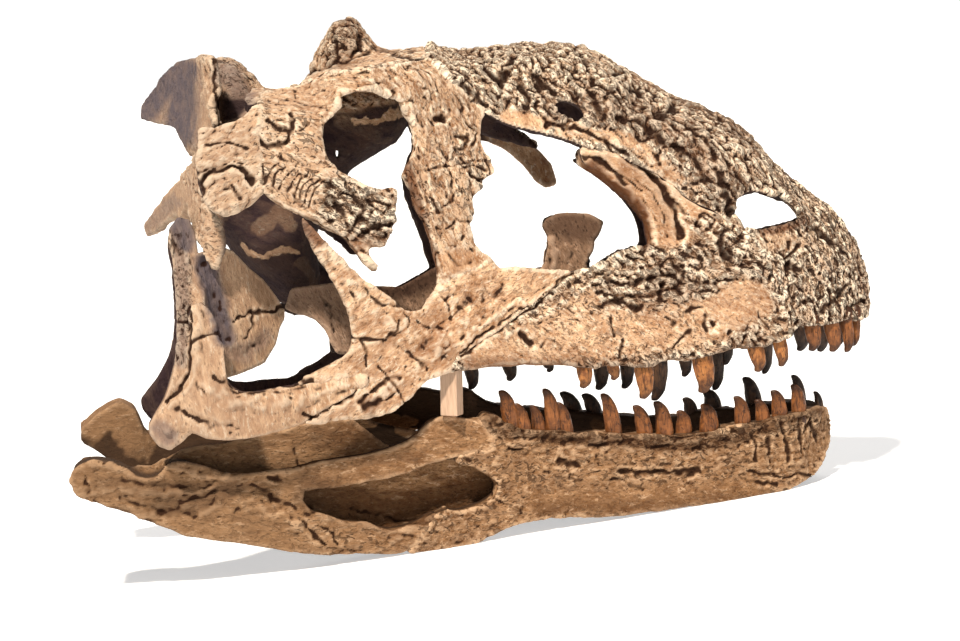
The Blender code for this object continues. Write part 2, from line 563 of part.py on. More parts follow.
def cheek_bone(name, outline, thickness, gap=SUTURE, ridge=(), **options):
    """A bone of the right cheek or snout, and the same bone of the left."""
    bm = bmesh.new()
    sides = add_plate(bm, outline, on_skull, thickness, gap=gap, **options)
    keep_right(bm, SUTURE / 2)
    to_middle(sides, outline, ridge, SUTURE / 2)
    right = finish(name + "_R", bm, BONE_COLOUR)
    return right, mirrored(right, name + "_L")


def snout_thickness(u, v):
    """The premaxilla is thin in its upper branch and thick where its teeth sit."""
    return WALL_BONE + (JAW_BONE - WALL_BONE) * ramp(v, 205, 250)


def make_nasals():
    """The right nasal, open along the middle plane, and its mirror image grown on to it."""
    bm = bmesh.new()
    sides = add_plate(bm, NASALS, on_skull, ROOF_BONE, holes=[NASAL_OPENING], gap=1.5 * SUTURE)
    keep_right(bm, 0.0)
    to_middle(sides, NASALS, [*NASAL_RIDGE, PREMAXILLA_NASAL[0]], 0.0)
    seam = [face for face in bm.faces if all(abs(vert.co.y) < 1e-7 for vert in face.verts)]
    bmesh.ops.delete(bm, geom=seam, context="FACES_ONLY")
    bmesh.ops.mirror(bm, geom=bm.verts[:] + bm.edges[:] + bm.faces[:], axis="Y", merge_dist=1e-5)
    bmesh.ops.recalc_face_normals(bm, faces=bm.faces)
    return finish("nasals", bm, BONE_COLOUR)


def add_core(bm, outline, half, rounding, spacing=14):
    """A solid across the middle plane, rounded off towards its outline."""
    def half_at(u, v):
        near = min(path_distance(u, v, outline, closed=True) / rounding, 1.0)
        return half * (0.15 + 0.85 * sqrt(1.0 - (1.0 - near) ** 2))

    add_plate(bm, outline, slab(lambda u, v: -half_at(u, v)), lambda u, v: 2.0 * half_at(u, v),
              spacing=spacing, back_spacing=spacing, edge=1.0)


def add_sheet(bm, outline, table, thickness, spacing=14):
    """A plate that runs across the skull: table gives its distance from the middle plane along u."""
    def place(u, v, depth):
        return face_point(SKULL_VIEW, u, v, depth, lambda a, b: -along(a, table), [])

    add_plate(bm, outline, place, thickness, spacing=spacing, back_spacing=spacing, edge=0.7)


def make_skull_roof():
    """Frontals, parietals with horn and nuchal crest, braincase and paroccipital wings, grown into one."""
    bm = bmesh.new()
    add_plate(bm, FRONTALS, on_skull, 0.020, gap=FUSED_SUTURE)
    bmesh.ops.mirror(bm, geom=bm.verts[:] + bm.edges[:] + bm.faces[:], axis="Y", merge_dist=0.0)
    bmesh.ops.recalc_face_normals(bm, faces=bm.faces)
    add_core(bm, FRONTAL_KEEL, 0.024, 16)
    add_core(bm, HORN, 0.027, 22)
    add_core(bm, CREST_WEB, 0.030, 26)
    add_core(bm, BRAINCASE, 0.036, 34)
    add_sheet(bm, NUCHAL_CREST, [(142, 0.100), (190, 0.020), (204, -0.060), (218, -0.086)], 0.009)
    add_sheet(bm, OCCIPUT_WINGS, [(142, 0.118), (176, 0.030), (190, -0.070), (200, -0.096), (225, -0.101)],
              0.010)
    roof = finish("skull_roof", bm, DARK_BONE_COLOUR)
    fuse(roof, 0.003, 900)
    return roof


def union(piece, other):
    """Grow another solid on to a piece and drop the other object."""
    join = piece.modifiers.new("join", "BOOLEAN")
    join.operation = "UNION"
    join.solver = "EXACT"
    join.object = other
    joined = new_mesh(piece)
    piece.modifiers.clear()
    piece.data = joined
    bpy.data.objects.remove(other)


def plate_object(name, outline, place, thickness, colour=BONE_COLOUR, **options):
    bm = bmesh.new()
    add_plate(bm, outline, place, thickness, **options)
    return finish(name, bm, colour)


def make_quadrate(name, sweep):
    """Quadrate and quadratojugal, grown together, with the quadrate's thin wing towards the palate.

    The sweep is how far the lower end of the shaft lies back and up, in pixels.
    """
    def shaft_y(u, v):
        return -0.090 - 0.040 * ramp(v, 270, 340)

    def wing_y(u, v):
        return -0.094 - 0.012 * ramp(v, 290, 350) + 0.046 * ramp(u, 205, 284)

    def shaft_thickness(u, v):
        return 0.016 + 0.014 * ramp(v, 280, 360)

    def swept(outline):
        shares = [ramp(v, 335, 420) * (1.0 - ramp(u, 195, 260)) for u, v in outline]
        return [(u - sweep[0] * share, v - sweep[1] * share) for (u, v), share in zip(outline, shares)]

    quadrate = plate_object(name, swept(QUADRATOJUGAL), on_skull, 0.012, gap=SUTURE)
    union(quadrate, plate_object("shaft", swept(QUADRATE_SHAFT), slab(shaft_y), shaft_thickness, edge=0.8))
    union(quadrate, plate_object("wing", PTERYGOID_WING, slab(wing_y), WALL_BONE, spacing=26))
    return quadrate


def make_quadrates():
    """The right one, and the left one, whose lower end lies further back."""
    make_quadrate("quadrate_R", (0, 0))
    swept = make_quadrate("quadrate_swept", FAR_SWEEP)
    mirrored(swept, "quadrate_L")
    bpy.data.objects.remove(swept)


def make_palates():
    """Palatine and pterygoid: an upright plate near the middle that spreads towards the quadrate."""
    right = plate_object("palate_R", PALATE, slab(lambda u, v: -0.046 + 0.028 * ramp(u, 345, 440)), WALL_BONE,
                         spacing=26)
    return right, mirrored(right, "palate_L")


def jaw_thickness(u, v):
    """The rear of the jaw is thick along its underside and round its joint, and thin between."""
    underside = along(u, [(70, 488), (136, 517), (186, 536), (331, 555), (400, 554), (448, 548)])
    keel = 0.020 * (1.0 - min(max((underside - v) / 45.0, 0.0), 1.0))
    joint = 0.024 * (1.0 - ramp(u, 150, 215))
    return 0.009 + max(keel, joint)


def make_lower_jaw():
    """Each half of the lower jaw: the dentary with its teeth, and the bones behind it, grown together."""
    bm = bmesh.new()
    add_plate(bm, DENTARY, on_jaw, JAW_BONE, gap=SUTURE, edge=0.9)
    keep_right(bm, SUTURE / 2)
    dentary = finish("dentary_R", bm, JAW_COLOUR)
    far_end = [near_pixel(JAW_VIEW, u, v, jaw_half_width(u, v)) for u, v in FAR_JAW_END]
    rears = []
    for name, outline in (("postdentary_R", JAW_HEEL + JAW_END), ("postdentary_far", far_end)):
        rear = plate_object(name, outline + POSTDENTARY, on_jaw, jaw_thickness, JAW_COLOUR, gap=SUTURE,
                            edge=1.0)
        union(rear, plate_object("inner", PREARTICULAR, inside_jaw, 0.006, spacing=26))
        rears.append(rear)
    rear_left = mirrored(rears[1], "postdentary_L")
    bpy.data.objects.remove(rears[1])
    return dentary, mirrored(dentary, "dentary_L"), rears[0], rear_left


def near_pixel(view, u, v, y):
    """Where a thing that is seen at (u, v) on the far side would be seen if it were on the near side."""
    point = view.spot(u, v, y)
    point.y = -point.y
    return view.pixel(point)


def tooth_mesh(view, root, base, tip, width, y, grow):
    """A flattened blade from the root's end to the tip: straight behind and curved in front."""
    radius = 1.08 * width * PIXEL / 2
    stations = [(root, 0.80)]
    for height in (0.0, 0.55, 0.88):
        share = sqrt(1.0 - height ** 3)
        rear = base[0] - width / 2 + height * (tip[0] + width / 2 - base[0])
        stations.append(((rear + width * share / 2, base[1] + height * (tip[1] - base[1])), share))
    stations.append((tip, 0.10))
    curve = bpy.data.curves.new("tooth", "CURVE")
    curve.dimensions = "3D"
    curve.bevel_depth = 1.0
    curve.bevel_resolution = 1
    curve.use_fill_caps = True
    line = curve.splines.new("POLY")
    line.points.add(len(stations) - 1)
    for point, ((u, v), share) in zip(line.points, stations):
        point.co = (*view.spot(u, v, y), 1.0)
        point.radius = radius * share + grow
    tube = bpy.data.objects.new("tooth", curve)
    bpy.context.scene.collection.objects.link(tube)
    bm = bmesh.new()
    bm.from_mesh(new_mesh(tube))
    bpy.data.objects.remove(tube)
    bmesh.ops.remove_doubles(bm, verts=bm.verts, dist=1e-5)
    for vert in bm.verts:
        vert.co.y = y + (vert.co.y - y) * TOOTH_FLATNESS
    bmesh.ops.recalc_face_normals(bm, faces=bm.faces)
    return bm


def make_teeth(bone, name, teeth, row, half_width, view):
    """The teeth of one bone, numbered from the back, and the sockets that they sit in."""
    left = bone.name.endswith("_L")
    cutter = bmesh.new()
    for number, (u, tip_u, tip_v, width) in enumerate(teeth, 1):
        tip = (tip_u, tip_v)
        v = along(u, row)
        if left:
            y = half_width(u, v) - TOOTH_IN
            y = half_width(near_pixel(view, u, v, y)[0], v) - TOOTH_IN
            u = near_pixel(view, u, v, y)[0]
            tip = near_pixel(view, tip_u, tip_v, y)
            v = along(u, row)
        y = TOOTH_IN - half_width(u, v)
        up = -1.0 if tip[1] > v else 1.0
        root = (u, v + up * TOOTH_ROOT)
        deeper = (u, v + up * (TOOTH_ROOT + 1))
        for solid, end, grow in ((None, root, 0.0), (cutter, deeper, TOOTH_GAP)):
            bm = tooth_mesh(view, end, (u, v), tip, width, y, grow)
            if left:
                for vert in bm.verts:
                    vert.co.y = -vert.co.y
                bmesh.ops.reverse_faces(bm, faces=bm.faces)
            if solid is None:
                finish(f"{name}_tooth_{bone.name[-1]}_{number}", bm, TOOTH_COLOUR, 0.45)
            else:
                mesh = bpy.data.meshes.new("socket")
                bm.to_mesh(mesh)
                bm.free()
                solid.from_mesh(mesh)
    sockets = finish(bone.name + "_sockets", cutter, TOOTH_COLOUR, collection=CUTTERS)
    cut(bone, sockets)


def cut(piece, cutter):
    """Take a cutter's shape out of a piece."""
    cutter.hide_render = True
    cutter.display_type = "WIRE"
    hollow = piece.modifiers.new("cut " + cutter.name, "BOOLEAN")
    hollow.operation = "DIFFERENCE"
    hollow.solver = "EXACT"
    hollow.object = cutter


def break_away(outline, start, bones):
    """Take out of bones what is seen within an outline, from a distance of the middle plane outwards."""
    bm = bmesh.new()
    near = [bm.verts.new(SKULL_VIEW.spot(u, v, start)) for u, v in outline]
    sides = bmesh.ops.extrude_face_region(bm, geom=[bm.faces.new(near)])
    for vert in sides["geom"]:
        if isinstance(vert, bmesh.types.BMVert):
            vert.co = SKULL_VIEW.spot(*SKULL_VIEW.pixel(vert.co), 0.150)
    bmesh.ops.triangulate(bm, faces=bm.faces)
    bmesh.ops.recalc_face_normals(bm, faces=bm.faces)
    gap = finish("break_" + bones[0], bm, BONE_COLOUR, collection=CUTTERS)
    for bone in bones:
        cut(bpy.data.objects[bone], gap)


def make_prop():
    """The square block that holds the jaws apart, on the right side."""
    top = JAW_VIEW.spot(*PROP_TOP, PROP_Y)
    bottom = JAW_VIEW.spot(*PROP_BOTTOM, PROP_Y)
    bm = bmesh.new()
    bmesh.ops.create_cube(bm, size=1.0)
    bmesh.ops.scale(bm, verts=bm.verts, vec=(PROP_WIDTH, PROP_WIDTH, top.z - bottom.z))
    bmesh.ops.rotate(bm, verts=bm.verts, matrix=Matrix.Rotation(PROP_TURN, 3, "Z"))
    bmesh.ops.translate(bm, verts=bm.verts, vec=(top + bottom) / 2)
    return finish("jaw_prop", bm, PROP_COLOUR)


def seen_points(piece, turn=None):
    """The piece's points as its modifiers leave them, turned where a turn is given."""
    mesh = new_mesh(piece)
    if turn:
        mesh.transform(turn)
    points = np.empty(len(mesh.vertices) * 3)
    mesh.vertices.foreach_get("co", points)
    bpy.data.meshes.remove(mesh)
    return points.reshape(-1, 3)


def resting_turn(points):
    """The turn about Y that lays the jaws' undersides, rear and front, on one level."""
    turn = 0.0
    middle = (points[:, 0].min() + points[:, 0].max()) / 2
    for _ in range(8):
        height = points[:, 2] * cos(turn) - points[:, 0] * sin(turn)
        rear = points[np.where(points[:, 0] < middle, height, np.inf).argmin()]
        front = points[np.where(points[:, 0] >= middle, height, np.inf).argmin()]
        turn = np.arctan2(front[2] - rear[2], front[0] - rear[0])
    return float(turn)


def empty(name, parent=None):
    """A frame that pieces are placed by."""
    new = bpy.data.objects.new(name, None)
    bpy.data.collections[SKULL].objects.link(new)
    new.parent = parent
    return new


def settle(upper, lower, jaws):
    """Rest the skull on its lower jaw, flat on the ground, with the middle of its box over the origin."""
    roll_turn = Matrix.Rotation(SKULL_TILT - JAW_TILT, 4, JAW_VIEW.right)
    turn = resting_turn(np.concatenate([seen_points(jaw) for jaw in jaws]))
    points = np.concatenate([seen_points(piece, roll_turn) for piece in upper]
                            + [seen_points(piece) for piece in lower])
    x = points[:, 0] * cos(turn) + points[:, 2] * sin(turn)
    z = points[:, 2] * cos(turn) - points[:, 0] * sin(turn)
    y = points[:, 1]
    rest = empty("rest")
    rest.rotation_euler.y = turn
    rest.location = (-(x.min() + x.max()) / 2, -(y.min() + y.max()) / 2, -z.min() - FLAT_CUT)
    roll = empty("roll", rest)
    roll.rotation_euler = roll_turn.to_euler()
    for piece in upper:
        piece.parent = roll
    for piece in lower:
        piece.parent = rest
    for cutter in bpy.data.collections[CUTTERS].objects:
        cutter.parent = rest if cutter.name.startswith("dentary") else roll
    bm = bmesh.new()
    bmesh.ops.create_cube(bm, size=1.0)
    for vert in bm.verts:
        vert.co.z -= 0.5
    ground = finish("ground", bm, BONE_COLOUR, collection=CUTTERS)
    for jaw in jaws:
        cut(jaw, ground)


def main():
    for old in list(bpy.data.objects):
        bpy.data.objects.remove(old)
    for name in (SKULL, CUTTERS):
        bpy.context.scene.collection.children.link(bpy.data.collections.new(name))

    make_skull_roof()
    make_nasals()
    premaxillae = cheek_bone("premaxilla", PREMAXILLA, snout_thickness, gap=2 * SUTURE, ridge=SNOUT_RIDGE,
                             edge=0.9)
    maxillae = cheek_bone("maxilla", MAXILLA, JAW_BONE, edge=0.9)
    lacrimal_left = cheek_bone("lacrimal", LACRIMAL, CHEEK_BONE)[1]
    strap = plate_object("strap", FAR_STRAP, slab(lambda u, v: 0.068), WALL_BONE, spacing=24)
    union(lacrimal_left, strap)
    cheek_bone("postorbital", POSTORBITAL, CHEEK_BONE + 0.002)
    cheek_bone("squamosal", SQUAMOSAL, CHEEK_BONE)
    cheek_bone("jugal", JUGAL, CHEEK_BONE)
    make_quadrates()
    make_palates()
    dentary_r, dentary_l, rear_r, rear_l = make_lower_jaw()
    make_prop()

    for outline, start, bones in BREAKS:
        break_away(outline, start, bones)
    for bone, teeth in zip(premaxillae, (PREMAXILLARY_TEETH_R, PREMAXILLARY_TEETH_L)):
        make_teeth(bone, "premaxillary", teeth, UPPER_ROW, skull_half_width, SKULL_VIEW)
    for bone, teeth in zip(maxillae, (MAXILLARY_TEETH_R, MAXILLARY_TEETH_L)):
        make_teeth(bone, "maxillary", teeth, UPPER_ROW, skull_half_width, SKULL_VIEW)
    for bone, teeth in ((dentary_r, DENTARY_TEETH_R), (dentary_l, DENTARY_TEETH_L)):
        make_teeth(bone, "dentary", teeth, LOWER_ROW, jaw_half_width, JAW_VIEW)

    jaw_words = ("dentary", "postdentary", "jaw_prop")
    pieces = list(bpy.data.collections[SKULL].objects)
    lower = [piece for piece in pieces if piece.name.startswith(jaw_words)]
    upper = [piece for piece in pieces if piece not in lower]
    settle(upper, lower, (dentary_r, dentary_l, rear_r, rear_l))


main()
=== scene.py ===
from math import cos, radians, sin

import bmesh
import bpy
import numpy as np
from mathutils import Matrix, Vector


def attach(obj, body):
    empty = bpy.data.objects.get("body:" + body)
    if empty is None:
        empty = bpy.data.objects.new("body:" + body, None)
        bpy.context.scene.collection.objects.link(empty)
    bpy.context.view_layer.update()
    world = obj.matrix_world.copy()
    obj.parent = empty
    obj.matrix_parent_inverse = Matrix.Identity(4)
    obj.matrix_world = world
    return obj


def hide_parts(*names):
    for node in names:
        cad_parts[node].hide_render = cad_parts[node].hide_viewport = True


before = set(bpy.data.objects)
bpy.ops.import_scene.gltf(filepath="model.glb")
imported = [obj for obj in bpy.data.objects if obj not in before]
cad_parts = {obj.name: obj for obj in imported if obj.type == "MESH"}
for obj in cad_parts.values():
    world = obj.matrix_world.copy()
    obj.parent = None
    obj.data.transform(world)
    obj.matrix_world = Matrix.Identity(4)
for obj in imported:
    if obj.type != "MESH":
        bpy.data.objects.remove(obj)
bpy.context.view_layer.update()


# Skull roof
# Frontals, parietals with the domed horn, the broken nuchal crest, the braincase and the two wings behind it
# are one fossil bone. Its top is knobbly and pitted, and the braincase under it is smoother and painted dark
# as shade.

# The marks on the bones are placed by the photograph's pixels. It was taken from a little behind the skull's
# right side. The upper skull lies rolled on the jaws, so it is seen level and the jaws a little from above.
PHOTO_WIDTH = 960
MIDDLE = (480.0, 320.5)
PIXEL = 0.00085
DISTANCE = 2.1
TURN = radians(7.5)
JAW_TILT = radians(5.6)

# How the skull was turned and moved from the animal's own axes, to rest on the undersides of its jaws
REST_TURN = 0.11143
REST_PLACE = (0.0057, 0.0050, 0.1718)


class Sight:
    """Sees the points of the upper skull or of the jaws as the photograph does."""

    def __init__(self, tilt):
        rest = Matrix.Translation(REST_PLACE) @ Matrix.Rotation(REST_TURN, 4, "Y")
        self.right = Vector((cos(TURN), -sin(TURN), 0.0))
        self.forward = Vector((sin(TURN) * cos(tilt), cos(TURN) * cos(tilt), -sin(tilt)))
        self.up = self.right.cross(self.forward)
        self.eye = -DISTANCE * self.forward
        self.place = rest @ Matrix.Rotation(tilt - JAW_TILT, 4, self.right)

    def local(self, vectors, side, points=True):
        """Points or directions in the animal's own axes, those of its left side mirrored to its right."""
        back = np.array(self.place.inverted())
        vectors = vectors @ back[:3, :3].T + (back[:3, 3] if points else 0.0)
        if side == "L":
            vectors[:, 1] *= -1.0
        return vectors

    def pixels(self, local):
        """Where local points are seen."""
        ray = local - np.array(self.eye)
        step = DISTANCE / PIXEL / (ray @ np.array(self.forward))
        u = MIDDLE[0] + ray @ np.array(self.right) * step
        v = MIDDLE[1] - ray @ np.array(self.up) * step
        return u, v

    def spot(self, u, v, y):
        """The point that is seen at a pixel, at a distance from the animal's middle plane."""
        step = PIXEL / DISTANCE
        ray = self.forward + self.right * (u - MIDDLE[0]) * step - self.up * (v - MIDDLE[1]) * step
        return self.place @ (self.eye + ray * ((y - self.eye.y) / ray.y))


skull_sight = Sight(0.0)


def smooth_step(low, high, values):
    share = np.clip((values - low) / (high - low), 0.0, 1.0)
    return share * share * (3.0 - 2.0 * share)


LOW_BITS = np.uint64(0xFFFFFFFF)


def corner_chance(x, y, z, seed):
    """A fixed random number for each corner of a lattice."""
    mixed = x * np.uint64(73856093) ^ y * np.uint64(19349663) ^ z * np.uint64(83492791)
    mixed = (mixed + np.uint64(seed * 2654435761)) & LOW_BITS
    mixed = ((mixed ^ (mixed >> np.uint64(15))) * np.uint64(2246822519)) & LOW_BITS
    mixed = ((mixed ^ (mixed >> np.uint64(13))) * np.uint64(3266489917)) & LOW_BITS
    return (mixed ^ (mixed >> np.uint64(16))).astype(float) / float(LOW_BITS)


# Added to every place in the lattice, so that none is below zero
ABOVE_ZERO = 1000.0


def clouds(points, size, seed):
    """Soft lumps of about that size, from 0 to 1."""
    places = points / size + ABOVE_ZERO
    whole = np.floor(places)
    share = places - whole
    share = share * share * (3.0 - 2.0 * share)
    whole = whole.astype(np.uint64)
    total = np.zeros(len(points))
    for corner in range(8):
        step = [(corner >> axis) & 1 for axis in range(3)]
        weight = np.ones(len(points))
        for axis in range(3):
            weight *= share[:, axis] if step[axis] else 1.0 - share[:, axis]
        corners = [whole[:, axis] + np.uint64(step[axis]) for axis in range(3)]
        total += weight * corner_chance(*corners, seed)
    return total


def wander(points, size, seed):
    """A soft sideways bend of about that size, to keep patterns from looking ruled."""
    return np.stack([clouds(points, size, seed + axis) for axis in (1, 2, 3)], axis=1) - 0.5


def knobs(points, size, seed):
    """Swellings that crowd one another: 1 on their tops, 0 in the narrow creases between them."""
    bent = points + wander(points, size * 1.6, seed) * size * 1.1
    return np.clip(1.35 * np.sqrt(np.abs(2.0 * clouds(bent, size, seed) - 1.0)), 0.0, 1.0)


def worm_holes(points, size, seed):
    """Short winding pits: 1 in the pits."""
    bent = points + wander(points, size * 1.3, seed) * size * 1.5
    return smooth_step(0.54, 0.74, clouds(bent, size, seed))


def path_gap(u, v, path):
    """Pixels from each point to a run of pixels."""
    nearest = np.full(len(u), 1e9)
    if len(path) == 1:
        return np.hypot(u - path[0][0], v - path[0][1])
    for (a, b), (c, d) in zip(path, path[1:]):
        length = (c - a) ** 2 + (d - b) ** 2
        share = np.clip(((u - a) * (c - a) + (v - b) * (d - b)) / length, 0.0, 1.0)
        nearest = np.minimum(nearest, np.hypot(u - a - share * (c - a), v - b - share * (d - b)))
    return nearest


def joined_solid(node):
    """A copy of a part's CAD solid, with its loose faces joined."""
    bm = bmesh.new()
    bm.from_mesh(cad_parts[node].data)
    bmesh.ops.remove_doubles(bm, verts=bm.verts, dist=1e-6)
    return bm


def shaped_mesh(name, bm):
    mesh = bpy.data.meshes.new(name)
    bm.to_mesh(mesh)
    bm.free()
    return mesh


def placed(name, data):
    """A new object of the scene, at the origin."""
    made = bpy.data.objects.new(name, data)
    bpy.context.scene.collection.objects.link(made)
    return made


def piece_name(node):
    return node.replace("_", " ").title().replace(" ", "")


def even_skin(node, voxel):
    """A bone's solid as an even skin of small faces."""
    block = placed(node, shaped_mesh(node, joined_solid(node)))
    remesh = block.modifiers.new("skin", "REMESH")
    remesh.mode = "VOXEL"
    remesh.voxel_size = voxel
    skin = bpy.data.meshes.new_from_object(block.evaluated_get(bpy.context.evaluated_depsgraph_get()))
    bpy.data.objects.remove(block)
    return skin


class Skin:
    """A fine skin's points, and the ways to smooth and raise them."""

    def __init__(self, mesh):
        self.mesh = mesh
        count = len(mesh.vertices)
        self.points = np.empty(count * 3)
        mesh.vertices.foreach_get("co", self.points)
        self.points = self.points.reshape(-1, 3)
        pairs = np.empty(len(mesh.edges) * 2, dtype=np.int32)
        mesh.edges.foreach_get("vertices", pairs)
        self.start, self.end = pairs.reshape(-1, 2).T
        self.meets = np.bincount(pairs, minlength=count).astype(float)

    def spread(self, values):
        """Each point's mean over its neighbours."""
        if values.ndim == 2:
            return np.stack([self.spread(column) for column in values.T], axis=1)
        total = np.bincount(self.start, values[self.end], len(values))
        total += np.bincount(self.end, values[self.start], len(values))
        return total / self.meets

    def blur(self, values, rounds):
        for _ in range(rounds):
            values = self.spread(values)
        return values

    def write(self):
        """Give the mesh the points as they now are."""
        self.mesh.vertices.foreach_set("co", self.points.ravel())
        self.mesh.update()

    def normals(self):
        self.write()
        out = np.empty(len(self.points) * 3, dtype=np.float32)
        self.mesh.vertex_normals.foreach_get("vector", out)
        return out.reshape(-1, 3).astype(float)

    def round_edges(self, rounds):
        """Soften the edges without shrinking the bone."""
        for _ in range(rounds):
            self.points += 0.6 * (self.spread(self.points) - self.points)
            self.points -= 0.61 * (self.spread(self.points) - self.points)

    def plane_faces(self, rounds):
        """Blend the broad faces, keep the rims and the bone's thickness, and tell where the rims are."""
        facing = self.normals()
        broad = self.blur(facing, 7)
        length = np.linalg.norm(broad, axis=1)
        broad /= length[:, None]
        free = smooth_step(0.80, 0.97, length)
        before = self.points.copy()
        for _ in range(rounds):
            lift = ((self.spread(self.points) - self.points) * broad).sum(axis=1) * free
            self.points += broad * lift[:, None]
        lost = self.blur(((before - self.points) * broad).sum(axis=1), rounds)
        self.points += broad * lost[:, None]
        return 1.0 - free

    def keep(self, name, values):
        layer = self.mesh.attributes.new(name, "FLOAT", "POINT")
        layer.data.foreach_set("value", np.clip(values, 0.0, 1.0).astype(np.float32))

    def keep_places(self, name, places):
        layer = self.mesh.attributes.new(name, "FLOAT_VECTOR", "POINT")
        layer.data.foreach_set("vector", places.ravel().astype(np.float32))


def outward_side(local, facing):
    """1 on the outside of a cheek bone, 0 on its inside."""
    return smooth_step(-0.15, 0.30, -facing[:, 1])


def outward_vault(local, facing):
    """1 on the outside of a bone that arches over the middle."""
    away = np.sign(local[:, 1]) * 0.65
    return smooth_step(-0.20, 0.25, facing[:, 1] * away + facing[:, 2] * 0.76)


# How wide the bone's relief is, and how far it stands up or goes in where the bone is roughest, in metres:
# broad swells, crowded knobs, small knobs between them, and short winding pits.
SWELL_SIZE = 0.022
SWELL_RISE = 0.0014
KNOBBY_SWELL_RISE = 0.0030
KNOB_SIZE = 0.0120
KNOB_RISE = 0.0036
SMALL_KNOB_SIZE = 0.0054
SMALL_KNOB_RISE = 0.0027
KNOB_MEAN = 0.60
PIT_SIZE = 0.0042
PIT_DEPTH = 0.0018

# Knobs and pits are longer along their lie than across it: a length that way counts for this share of it
LAID_SHARE = 0.58

# How far the bone's rough skin stands out from its solid, more where it is knobby and at rims
SKIN_RISE = 0.0006
KNOBBY_SKIN_RISE = 0.0010
RIM_RISE = 0.0004

# How far above the floor the jaws' undersides stay, so that the two don't flicker
FLOOR_GAP = 0.0002

# The areas over which the skin is evened, in square metres: first to take the solid's facets off, and then to
# tell how deep each point lies in a narrow hollow or a broad basin
FACET_AREA = 0.00016
HOLLOW_AREA = 0.000012
HOLLOW_DEPTH = 0.0008
BASIN_AREA = 0.000060
BASIN_DEPTH = 0.0022

# How much coarser the skin of the far side's bones is
FAR_SIDE_VOXEL = 1.25


